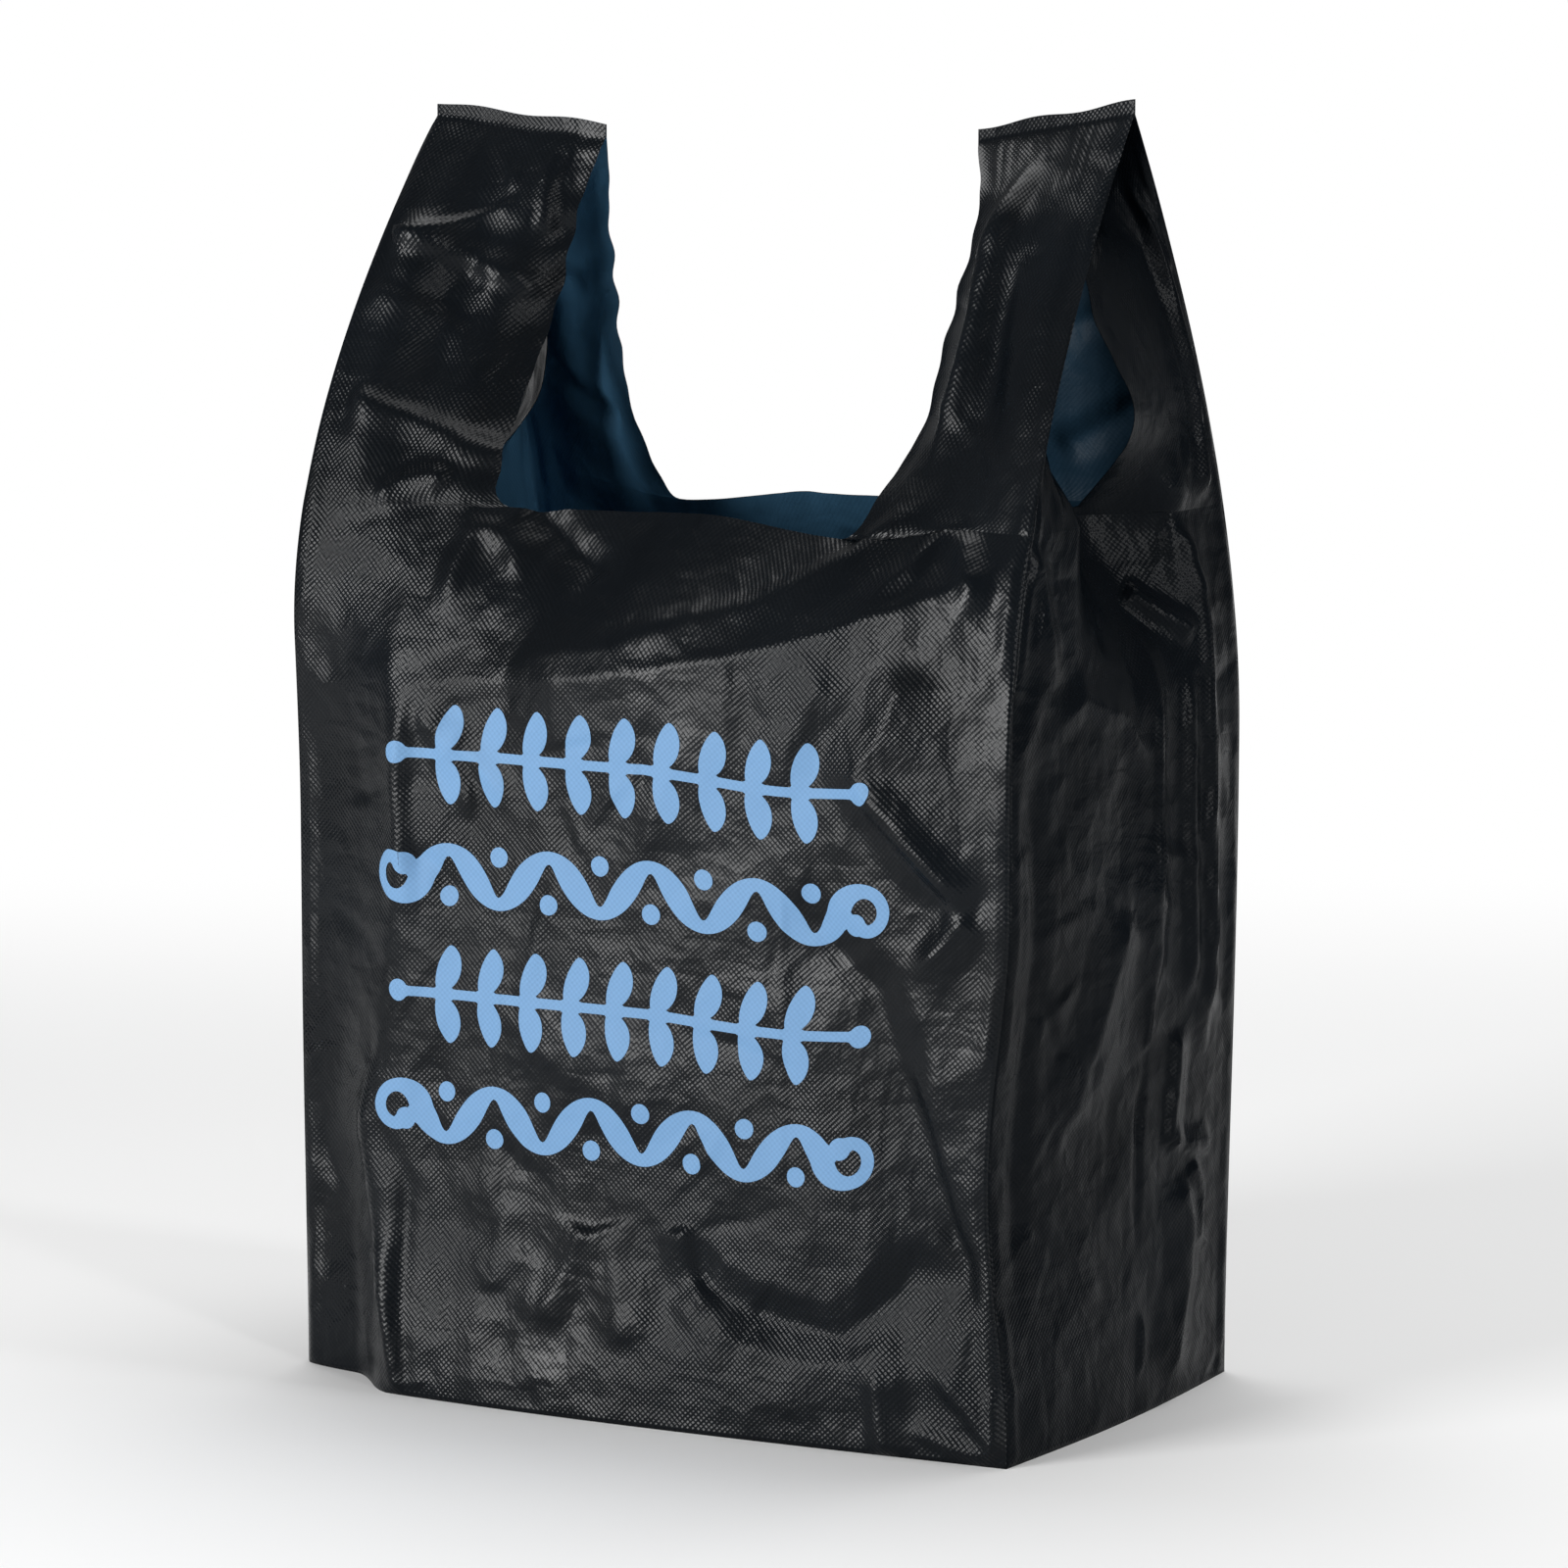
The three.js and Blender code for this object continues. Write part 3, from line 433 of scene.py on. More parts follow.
# The floor, and where it turns plain white as the camera sees it: from a little behind the bag on
FLOOR_SIZE = 160
FLOOR_COLOUR = (0.88, 0.88, 0.88, 1)
WHITE_FROM = 0.5
WHITE_FULL = 1.3
WHITE_HALF_WIDTH = 0.5
WHITE_SPREAD = 0.3
WHITE_FADE = 0.9


def length(name, description, default, precision=3):
    return FloatProperty(
        name=name, description=description, default=default, unit="LENGTH", precision=precision)


def colour(name, description, default):
    return FloatVectorProperty(name=name, description=description, default=default, subtype="COLOR")


class BagSizes(bpy.types.PropertyGroup):
    """Sizes of the bag that a user would change."""

    front_width: length("Front width", "Width of the front panel between its creases", 0.305)
    base_depth: length("Base depth", "Depth of a gusset from the front to the back crease", 0.178)
    flat_length: length("Flat length", "Length laid flat, from the foot to a handle's top", 0.584)
    mouth_height: length("Mouth height", "Height of the mouth's edge above the base", 0.333)
    left_handle_rise: length(
        "Left handle rise", "Height of the left handle above the mouth", 0.147)
    right_handle_rise: length(
        "Right handle rise", "Height of the right handle above the mouth", 0.151)
    handle_width: length("Handle width", "Width of a handle at its weld", 0.076)
    corner_radius: length("Corner radius", "Radius where the mouth turns up into a handle", 0.009)
    film_thickness: length("Film thickness", "Thickness of the film's wall as shown", 0.00022, 5)
    crumple: length("Crumple", "Height of the small crumples all over the film", 0.0005, 5)
    emboss_pitch: length("Emboss pitch", "Distance between the film's embossed diamonds", 0.0015, 5)


class BagColours(bpy.types.PropertyGroup):
    """Colours of the film and the print."""

    film: colour("Film", "Outside of the film", (0.0016, 0.0024, 0.0034))
    lining: colour("Inside", "Inside of the film", (0.02, 0.056, 0.095))
    ink: colour("Ink", "Printed design", (0.125, 0.245, 0.415))


def millimetres(sizes):
    """The sizes as plain numbers in millimetres."""
    return SimpleNamespace(**{name: getattr(sizes, name) / MM for name in BagSizes.__annotations__})


def lerp(a, b, share):
    return a + (b - a) * share


def smooth(value, low, high):
    """0 up to low and 1 from high on, with a soft turn at both."""
    x = np.clip((value - low) / (high - low), 0, 1)
    return x * x * (3 - 2 * x)


def hump(value, middle, reach):
    """1 at the middle and 0 from one reach away on."""
    x = np.minimum(1, np.abs(value - middle) / reach)
    return (1 - x * x) ** 2


def places(x, y, z):
    """Rows of x, y, z from numbers or arrays of one shape."""
    return np.stack(np.broadcast_arrays(x, y, z), -1).astype(float)


def fold_height(across, up, line, rise, left_reach, right_reach, start, end):
    """How far a fold lifts the film at each place: a tent over a line, softened along its top."""
    nearest = np.full(across.shape, np.inf)
    side = np.zeros(across.shape)
    run = np.zeros(across.shape)
    done = 0.0
    for (x0, z0), (x1, z1) in zip(line, line[1:]):
        dx, dz = x1 - x0, z1 - z0
        length = math.hypot(dx, dz)
        along = np.clip(((across - x0) * dx + (up - z0) * dz) / length**2, 0, 1)
        offset = np.hypot(across - x0 - along * dx, up - z0 - along * dz)
        closer = offset < nearest
        nearest = np.where(closer, offset, nearest)
        side = np.where(closer, dx * (up - z0) - dz * (across - x0), side)
        run = np.where(closer, done + along * length, run)
        done += length
    reach = np.where(side > 0, left_reach, right_reach)
    softness = min(FOLD_SOFTNESS, FOLD_SOFT_SHARE * min(left_reach, right_reach))
    tent = np.clip(1 - (np.hypot(nearest, softness) - softness) / reach, 0, 1)
    fade = smooth(run, 0, start) * smooth(done - run, 0, end)
    return rise * tent**FOLD_SHARPNESS * fade


def folds_height(across, up, folds):
    """All folds together, each worked out only where it reaches."""
    height = np.zeros(across.shape)
    for fold in folds:
        line, _, left_reach, right_reach, _, _ = fold
        low, high = np.min(line, axis=0), np.max(line, axis=0)
        reach = max(left_reach, right_reach)
        near = (across > low[0] - reach) & (across < high[0] + reach)
        near &= (up > low[1] - reach) & (up < high[1] + reach)
        height[near] += fold_height(across[near], up[near], *fold)
    return height


def scattered_creases(rng, count, low, high):
    """Straight creases of random place, turn and size between two corners of a panel."""
    creases = []
    for _ in range(count):
        middle = rng.uniform(low, high)
        half = rng.uniform(*CREASE_LENGTH) / 2
        turn = rng.uniform(0, math.pi)
        step = half * np.array([math.cos(turn), math.sin(turn)])
        rise = rng.uniform(*CREASE_RISE) * rng.choice((-1, 1))
        reach = rng.uniform(*CREASE_REACH, 2)
        bent = middle + rng.uniform(-CREASE_BEND, CREASE_BEND, 2) * half
        line = [tuple(middle - step), tuple(bent), tuple(middle + step)]
        creases.append((line, rise, *reach, half, half))
    return creases


def crumple_height(points):
    """Ridged noise in three sizes, 1 on its ridges and the same on each run."""
    height = np.zeros(len(points))
    for size, share in CRUMPLE_SIZES:
        for i, point in enumerate(points):
            value = noise.noise(Vector(point) / size + CRUMPLE_SHIFT)
            height[i] += share * (1 - CRUMPLE_SHARPNESS * abs(value))
    return height


def catmull(points, share):
    """A point of the centripetal curve through points, share from 0 to 1 along its spans."""
    points = [np.array(p, float) for p in points]
    ends = [2 * points[0] - points[1], *points, 2 * points[-1] - points[-2]]
    spans = len(points) - 1
    at = min(share * spans, spans - TINY)
    i = int(at)
    t = at - i
    a, b, c, d = ends[i:i + 4]
    step = [max(math.sqrt(math.dist(p, q)), SMALL) for p, q in ((a, b), (b, c), (c, d))]
    start = (b - a) / step[0] - (c - a) / (step[0] + step[1]) + (c - b) / step[1]
    stop = (c - b) / step[1] - (d - b) / (step[1] + step[2]) + (d - c) / step[2]
    start, stop = start * step[1], stop * step[1]
    square, cube = 3 * (c - b) - 2 * start - stop, 2 * (b - c) + start + stop
    return b + start * t + square * t**2 + cube * t**3


class Form:
    """The bag's form before its folds: creases, panels, gussets and the strips of the handles."""

    def __init__(self, size):
        self.size = size
        self.half_width = size.front_width / 2
        self.half_depth = size.base_depth / 2
        self.handles = {
            -1: self.handle(-1, size.left_handle_rise, LEFT_SHOULDER_HEIGHT, LEFT_WELD_INSET,
                            LEFT_WELD_BACK, LEFT_WELD_DROOP, LEFT_WELD_TWIST),
            1: self.handle(1, size.right_handle_rise, RIGHT_SHOULDER_HEIGHT, RIGHT_WELD_INSET,
                           RIGHT_WELD_BACK, RIGHT_WELD_DROOP, RIGHT_WELD_TWIST),
        }

    def handle(self, side, rise, shoulder, inset, back, droop, twist):
        """A handle's weld from its outer to its inner end, and where its creases lean in."""
        size = self.size
        foot = size.mouth_height + rise - WELD_BAND
        edge = self.half_width - inset
        outer = np.array([side * edge, back, foot])
        inner = np.array([side * (edge - size.handle_width), back + twist, foot - droop])
        along = inner - outer
        along *= math.sqrt(size.handle_width**2 - droop**2) / np.linalg.norm(along)
        facing = side * np.array([-along[1], along[0], 0]) / math.hypot(along[0], along[1])
        return SimpleNamespace(side=side, shoulder=shoulder, outer=outer, inner=outer + along,
                               facing=facing, rise=rise - WELD_BAND)

    def pleat(self, from_crease, height):
        """The left front corner is set back: in a step at its foot, and in a slope further up."""
        eased = smooth(height, 0, PLEAT_FLAT_HEIGHT)
        flat = PLEAT_FLAT_WIDTH * (1 - eased)
        step = lerp(PLEAT_STEP_WIDTH, PLEAT_SLOPE_WIDTH, eased)
        across = 1 - smooth(from_crease, flat, flat + step)
        fade = 1 - smooth(height, PLEAT_FADE_FROM, PLEAT_HEIGHT)
        return across * lerp(1, PLEAT_UPPER_SHARE, eased) * fade

    def crease(self, side, end, height):
        """Where the film folds from a panel into a gusset: end is -1 in front and 1 behind."""
        handle = self.handles[side]
        height = np.asarray(height, float)
        reach = handle.outer[2] - handle.shoulder
        climb = np.clip((height - handle.shoulder) / reach, 0, 1) ** LEAN_POWER
        pinch = WAIST_PINCH * hump(height, WAIST_HEIGHT, WAIST_REACH) if side > 0 > end else 0
        spread = hump(height, BACK_SPREAD_HEIGHT, BACK_SPREAD_HEIGHT)
        spread = BACK_SPREAD * spread if end > 0 else 0
        foot = PLEAT_SPREAD * self.pleat(0, height) if side < 0 and end < 0 else 0
        x = lerp(side * self.half_width, handle.outer[0], climb) + side * (spread + foot - pinch)
        return places(x, lerp(end * self.half_depth, handle.outer[1], climb) + spread, height)

    def mouth(self, share):
        """Height of the mouth's edge along a panel."""
        return self.size.mouth_height - MOUTH_DIP * hump(share, MOUTH_DIP_AT, MOUTH_DIP_REACH)

    def lean(self, height, lean_height, share):
        """0 up to the height where a panel starts to lean in, and 1 at the mouth."""
        mouth = self.mouth(share)
        start = np.minimum(lean_height, mouth - self.size.corner_radius / 2)
        return np.clip((height - start) / (mouth - start), 0, 1)

    def front(self, share, height):
        """A point of the front panel, share from its left crease to its right one."""
        point = lerp(self.crease(-1, -1, height), self.crease(1, -1, height), share[..., None])
        foot = FOOT_BULGE * hump(height, 0, FOOT_BULGE_HEIGHT) * np.sin(np.pi * np.sqrt(share))
        bulge = PANEL_BULGE * np.sin(np.pi * share)
        lean_height = lerp(FRONT_LEAN_LEFT_HEIGHT, FRONT_LEAN_RIGHT_HEIGHT, share**FRONT_LEAN_POWER)
        sag = FRONT_MOUTH_SAG * np.sin(np.pi * share**FRONT_SAG_POWER)
        sag = sag * self.lean(height, lean_height, share)
        pleat = PLEAT_DEPTH * self.pleat(share * self.size.front_width, height)
        folds = self.main_folds("front", point[..., 0], height, self.half_width, share)
        point[..., 1] += sag - foot - bulge - folds + pleat
        return point

    def main_folds(self, panel, across, height, half_span, share):
        """Height of a panel's main folds, flattened towards its creases."""
        lift = 0
        for line, rise, left, right in MAIN_FOLDS[panel]:
            points = [(x * half_span, z * self.size.mouth_height) for x, z in line]
            fade = FOLD_END_SHARE * sum(math.dist(a, b) for a, b in zip(points, points[1:]))
            reach = FOLD_REACH * left, FOLD_REACH * right
            lift = lift + fold_height(across, height, points, FOLD_RISE * rise, *reach, fade, fade)
        from_crease = 2 * half_span * np.minimum(share, 1 - share)
        return lift * smooth(from_crease, 0, FOLD_CLEARANCE) * smooth(height, 0, FOLD_CLEARANCE)

    def back(self, share, height):
        """A point of the back panel, share from its right crease to its left one."""
        point = lerp(self.crease(1, 1, height), self.crease(-1, 1, height), share[..., None])
        sag = BACK_MOUTH_SAG * np.sin(np.pi * share) * self.lean(height, BACK_LEAN_HEIGHT, share)
        folds = self.main_folds("back", point[..., 0], height, self.half_width, share)
        point[..., 1] += PANEL_BULGE * np.sin(np.pi * share) + folds - sag
        return point

    def gusset(self, side, share, height):
        """A point of a gusset, share from the front crease to the back one."""
        size = self.size
        point = lerp(self.crease(side, -1, height), self.crease(side, 1, height), share[..., None])
        near_mouth = smooth(height, size.mouth_height - POCKET_HEIGHT, size.mouth_height)
        pocket = hump((share - 0.5) * size.base_depth, 0, POCKET_WIDTH / 2)
        pocket = POCKET_DEPTH * near_mouth * pocket
        bulge = GUSSET_BULGE * np.sin(np.pi * share) * (1 - near_mouth)
        panel = "right" if side > 0 else "left"
        folds = self.main_folds(panel, point[..., 1], height, self.half_depth, share)
        point[..., 0] += side * (bulge + folds - pocket)
        if side < 0:
            point[..., 1] += PLEAT_DEPTH * self.pleat(0, height) * (1 - share)
        return point

    def edge(self, name, side, up):
        """The cut edge of a strip at a share up its handle."""
        size, handle = self.size, self.handles[side]
        points = [(side * (self.half_width - inwards * size.handle_width),
                   back * self.half_depth,
                   size.mouth_height + rise * handle.rise)
                  for inwards, back, rise in CUT_EDGES[name]]
        return catmull([*points, handle.inner], up)


class Film:
    """The film as a table of places, with its flat coordinates and the triangles of each panel."""

    def __init__(self, form):
        self.form = form
        size = form.size
        self.panel_columns = 2 * STRIP_COLUMNS + GAP_COLUMNS
        self.ring = 2 * self.panel_columns + 4 * STRIP_COLUMNS
        self.first_gusset = self.panel_columns
        self.first_back = self.panel_columns + 2 * STRIP_COLUMNS
        self.last_back = self.first_back + self.panel_columns
        self.strip_width = size.handle_width + size.corner_radius
        ring_lengths = 0, size.front_width, size.base_depth, size.front_width, size.base_depth
        self.creases = np.cumsum(ring_lengths)
        self.places = []
        self.flat = []
        self.panel = []
        self.numbers = {}
        self.triangles = {panel: [] for panel in PANELS}
        self.body()
        self.straps()
        self.base()
        self.places = np.array(self.places)
        self.flat = np.array(self.flat)

    def share(self, column):
        """Share of the panel width at a column, closer together in the handles than in the gap."""
        size = self.form.size
        gap = size.front_width - 2 * self.strip_width
        in_gap = np.clip(column - STRIP_COLUMNS, 0, GAP_COLUMNS)
        in_strips = column - in_gap
        along = in_strips * self.strip_width / STRIP_COLUMNS + in_gap * gap / GAP_COLUMNS
        return along / size.front_width

    def add(self, key, place, flat, panel):
        """The number of the place with this key, which is new or there already."""
        if key not in self.numbers:
            self.numbers[key] = len(self.places)
            self.places.append(place)
            self.flat.append(flat)
            self.panel.append(panel)
        return self.numbers[key]

    def quad(self, panel, a, b, c, d):
        self.triangles[panel] += ((a, b, c), (a, c, d))

    def panel_of(self, column):
        """The panel between a column and the next one round the ring."""
        ends = self.first_gusset, self.first_back, self.last_back, self.ring
        return next(panel for panel, end in zip(PANELS, ends) if column < end)

    def body(self):
        """The tube below the mouth, as columns round the ring and rows up."""
        form, mouth_height = self.form, self.form.size.mouth_height
        rows = np.arange(BODY_ROWS + 1) / BODY_ROWS
        for column in range(self.ring):
            if column <= self.first_gusset:
                number, share = 0, self.share(column)
            elif column < self.first_back:
                number, share = 1, (column - self.first_gusset) / (2 * STRIP_COLUMNS)
            elif column <= self.last_back:
                number, share = 2, self.share(column - self.first_back)
            else:
                number, share = 3, (column - self.last_back) / (2 * STRIP_COLUMNS)
            panel = PANELS[number]
            shares = np.full(len(rows), float(share))
            if panel == "front":
                column_places = form.front(shares, rows * form.mouth(shares))
            elif panel == "right":
                column_places = form.gusset(1, shares, rows * mouth_height)
            elif panel == "back":
                column_places = form.back(shares, rows * form.mouth(shares))
            else:
                column_places = form.gusset(-1, 1 - shares, rows * mouth_height)
            along = lerp(self.creases[number], self.creases[number + 1], share)
            for row, place in enumerate(column_places):
                self.add((column, row, 0), place, (along, rows[row] * mouth_height), panel)
        for column in range(self.ring):
            here, after = column, (column + 1) % self.ring
            for row in range(BODY_ROWS):
                corners = (here, row), (after, row), (after, row + 1), (here, row + 1)
                self.quad(self.panel_of(column), *(self.numbers[*corner, 0] for corner in corners))

    def base(self):
        """The flat base: a grid between the four lower edges, with its seam and its folded ends."""
        size, across, deep = self.form.size, self.panel_columns, 2 * STRIP_COLUMNS

        def edge(columns):
            numbers = [self.numbers[column % self.ring, 0, 0] for column in columns]
            return np.array([self.places[number] for number in numbers])

        front = edge(range(across + 1))
        right = edge(range(self.first_gusset, self.first_back + 1))
        back = edge(range(self.last_back, self.first_back - 1, -1))
        left = edge(range(self.ring, self.last_back - 1, -1))
        ring_key = {}
        for i in range(across + 1):
            ring_key[i, 0], ring_key[i, deep] = i, self.last_back - i
        for j in range(deep + 1):
            ring_key[0, j], ring_key[across, j] = (self.ring - j) % self.ring, self.first_gusset + j
        numbers = {}
        for i in range(across + 1):
            u = self.share(i)
            for j in range(deep + 1):
                if (i, j) in ring_key:
                    numbers[i, j] = self.numbers[ring_key[i, j], 0, 0]
                    continue
                v = j / deep
                place = lerp(front[i], back[i], v) + lerp(left[j], right[j], u)
                place = place - lerp(lerp(front[0], back[0], v), lerp(front[-1], back[-1], v), u)
                place[2] = self.base_height(u * size.front_width, v * size.base_depth)
                flat = u * size.front_width, (v - 1) * size.base_depth
                numbers[i, j] = self.add(("base", i, j), place, flat, "base")
        for i in range(across):
            for j in range(deep):
                corners = (i, j), (i, j + 1), (i + 1, j + 1), (i + 1, j)
                self.quad("base", *(numbers[corner] for corner in corners))

    def base_height(self, along, depth):
        """The base arches up from its edges, and its seam and its folded ends press down again."""
        size = self.form.size
        inwards = min(along, size.front_width - along)
        aside = abs(depth - size.base_depth / 2)
        to_edge = min(inwards, size.base_depth / 2 - aside)
        arch = BASE_ARCH * float(smooth(to_edge, 0, BASE_EDGE_WIDTH))
        seam = float(hump(aside, 0, BASE_SEAM_WIDTH))
        diagonal = abs(inwards + aside - size.base_depth / 2) / math.sqrt(2)
        fold = float(hump(diagonal, 0, BASE_SEAM_WIDTH)) if inwards < size.base_depth / 2 else 0
        return arch * (1 - max(seam, BASE_FOLD_SHARE * fold))

    def strap_share(self, step, handle):
        """How far up its handle a step is, closer together in the mouth's corner."""
        corner_top = self.form.size.corner_radius / handle.rise
        if step <= CORNER_STEPS:
            return corner_top * (step / CORNER_STEPS) ** CORNER_STEP_POWER
        return lerp(corner_top, 1, min(1, (step - CORNER_STEPS) / STRAP_STEPS))

    def straps(self):
        """Two strips at each of the four creases, from the mouth up to the weld and over it."""
        strips = (
            ("left_front", -1, -1, 0, 1), ("right_front", 1, -1, self.first_gusset, -1),
            ("right_front_gusset", 1, -1, self.first_gusset, 1),
            ("right_back_gusset", 1, 1, self.first_back, -1),
            ("right_back", 1, 1, self.first_back, 1), ("left_back", -1, 1, self.last_back, -1),
            ("left_back_gusset", -1, 1, self.last_back, 1),
            ("left_front_gusset", -1, -1, self.ring, -1),
        )
        for strip in strips:
            self.strap(*strip)

    def strap(self, name, side, end, first, step):
        """One strip, from its columns of the mouth's edge up to the top of its weld."""
        form, size = self.form, self.form.size
        handle = form.handles[side]
        gusset = "gusset" in name
        side_of = name.split("_")[0]
        panel = name if gusset else "front" if end < 0 else "back"
        last_step = CORNER_STEPS + STRAP_STEPS + WELD_STEPS
        across = np.arange(STRIP_COLUMNS + 1) / STRIP_COLUMNS
        columns = [(first + step * count) % self.ring for count in range(STRIP_COLUMNS + 1)]
        before = [self.numbers[column, BODY_ROWS, 0] for column in columns]
        mouth = np.array([self.places[number] for number in before])
        flat_start = np.array([self.flat[number][0] for number in before])
        if name == "left_front_gusset":
            flat_start[0] = self.creases[-1]
        base = self.ruled(name, handle, end, gusset, across, 0)
        for number in range(1, last_step + 1):
            up = self.strap_share(number, handle)
            over = max(0, number - CORNER_STEPS - STRAP_STEPS) / WELD_STEPS * WELD_BAND
            fade = 1 - smooth(up, 0, STRAP_BLEND_SHARE)
            row = self.ruled(name, handle, end, gusset, across, up) + (mouth - base) * fade
            wave = WELD_WAVE * np.sin(across * WELD_WAVE_TURNS + handle.side)
            row[:, 2] += over * (1 + wave)
            narrow = 1 if gusset else size.handle_width / self.strip_width
            narrowed = lerp(1, narrow, smooth(up, 0, STRAP_NARROW_SHARE))
            flat_across = lerp(flat_start[0], flat_start, narrowed)
            flat_up = size.mouth_height + up * handle.rise + over
            now = []
            for count, column in enumerate(columns):
                half = end if gusset and count == STRIP_COLUMNS and number > SLOT_FOOT_STEP else 0
                key = (column, BODY_ROWS + number, half)
                now.append(self.add(key, row[count], (flat_across[count], flat_up), panel))
            for count in range(STRIP_COLUMNS):
                ring = before[count], before[count + 1], now[count + 1], now[count]
                ring = ring if step > 0 else (ring[1], ring[0], ring[3], ring[2])
                self.quad(side_of if gusset else panel, *ring)
            before = now

    def ruled(self, name, handle, end, gusset, across, up):
        """The strip between its crease and its cut edge at one height."""
        form, size = self.form, self.form.size
        outer = form.crease(handle.side, end, lerp(size.mouth_height, handle.outer[2], up))
        inner = form.edge(name, handle.side, up)
        if not gusset:
            to_top = min(1, up * handle.rise / size.corner_radius)
            flare = size.corner_radius * (1 - math.sqrt(1 - (1 - to_top) ** 2))
            inner = inner + (inner - outer) * flare / np.linalg.norm(inner - outer)
        row = lerp(outer, inner, across[:, None])
        row[:, 1] += self.waver(handle, end, gusset, across, up)
        if not gusset:
            gather = GATHER_DEPTH * np.sin(2 * np.pi * across) ** 2 * math.sin(math.pi * up)
            panel = "front" if end < 0 else "back"
            share = across * size.handle_width / size.front_width
            folds = form.main_folds(panel, row[:, 0], row[:, 2], form.half_width, share)
            folds *= smooth(handle.inner[2] - row[:, 2], 0, FOLD_WELD_CLEARANCE)
            row[:, 1] += end * (gather + folds)
        gaps = GUSSET_GAPS if gusset else PANEL_GAPS
        gaps = lerp(CREASE_GAPS, gaps, np.minimum(1, across * STRIP_COLUMNS))
        stacked = SKIN_GAP * gaps * smooth(up, STACKED_FROM, STACKED_FULL)
        return row - end * stacked[:, None] * handle.facing

    def waver(self, handle, end, gusset, across, up):
        """The cut edges of the handles waver a little out of their panels."""
        turns = EDGE_WAVE_TURNS * up + handle.side + end
        wave = math.sin(turns + 2 * math.sin(EDGE_WAVE_DRIFT * turns))
        wave += 0.5 * math.sin(EDGE_WAVE_FINER * turns + 1)
        wave *= GUSSET_WAVE_SHARE if gusset else 1
        fade = smooth(up, *EDGE_WAVE_START) * (1 - smooth(up, *EDGE_WAVE_END))
        return EDGE_WAVE * wave * smooth(across, EDGE_WAVE_FROM, 1) * fade

    def normals(self):
        """Unit normals of the film at its places."""
        corners = np.concatenate([self.triangles[panel] for panel in PANELS])
        a, b, c = (self.places[corners[:, i]] for i in range(3))
        face = np.cross(b - a, c - a)
        total = np.zeros_like(self.places)
        for i in range(3):
            np.add.at(total, corners[:, i], face)
        return total / np.maximum(np.linalg.norm(total, axis=1), TINY)[:, None]

    def fold(self, crumple):
        """Lays the folds, the creases, the crumples and the puckers into the film."""
        size = self.form.size
        panel = np.array(self.panel)
        x, y, z = self.places.T
        along, up = self.flat.T
        lift = crumple * crumple_height(self.places)
        rng = np.random.default_rng(CREASE_SEED)
        for name, across in (("front", x), ("back", x), ("right", y), ("left", y)):
            here = panel == name
            low = across[here].min(), 0
            high = across[here].max(), z[here].max()
            creases = scattered_creases(rng, CREASE_COUNTS[name], low, high)
            lift[here] += FINE_FOLD_SHARE * folds_height(across[here], z[here], FINE_FOLDS[name])
            lift[here] += folds_height(across[here], z[here], creases)
        strips = "right_front_gusset", "right_back_gusset", "left_back_gusset", "left_front_gusset"
        for name, crease in zip(strips, self.creases[1:]):
            here = panel == name
            from_crease = np.abs(along[here] - crease)
            lift[here] += folds_height(from_crease, up[here] - size.mouth_height, FINE_FOLDS[name])
        from_crease = np.abs(along[:, None] - self.creases).min(1)
        ridge = CREASE_RIDGE * hump(from_crease, CREASE_RIDGE_AT, CREASE_RIDGE_AT)
        turns = z * CREASE_RIDGE_TURNS + np.sin(z * CREASE_RIDGE_DRIFT)
        lift += ridge * (1 - CREASE_RIDGE_CHANGE + CREASE_RIDGE_CHANGE * np.sin(turns))
        below = size.mouth_height + up_to_weld(self.form, x) - z
        lift *= smooth(from_crease, 0, EDGE_CLEARANCE) * smooth(z, 0, EDGE_CLEARANCE)
        lift *= smooth(below, EDGE_CLEARANCE, FOLD_WELD_CLEARANCE)
        pucker = self.puckers(along, below)
        pucker[(z < size.mouth_height) | ((panel != "front") & (panel != "back"))] = 0
        self.places += self.normals() * (lift + pucker)[:, None]
        self.places[:, 2] = np.maximum(self.places[:, 2], 0)

    def puckers(self, along, below):
        """Uneven puckers below the welds, by the place along the ring and below the weld."""
        turns = along * PUCKER_TURNS + 2 * np.sin(along * PUCKER_DRIFT)
        rise = PUCKER_RISE * (0.5 + 0.5 * np.sin(turns))
        rise *= lerp(PUCKER_LEAST, 1, np.sin(along * PUCKER_SPREAD + 1) ** 2)
        return rise * smooth(below, 0, PUCKER_FROM) * (1 - smooth(below, PUCKER_FULL, PUCKER_REACH))


def stroke(x, z, path, half_breadths):
    """A brush stroke along a path: above 0 inside, below 0 outside."""
    steps = np.linalg.norm(np.diff(path, axis=0), axis=1)
    run = np.concatenate([[0], np.cumsum(steps)])
    at = np.linspace(0, run[-1], int(run[-1] / STROKE_STEP) + 2)
    inside = np.full(x.shape, -1.0)
    track = (np.interp(at, run, values) for values in (*np.transpose(path), half_breadths))
    for px, pz, half in zip(*track):
        near = (np.abs(x - px) < half + 1) & (np.abs(z - pz) < half + 1)
        inside[near] = np.maximum(inside[near], half - np.hypot(x[near] - px, z[near] - pz))
    return inside


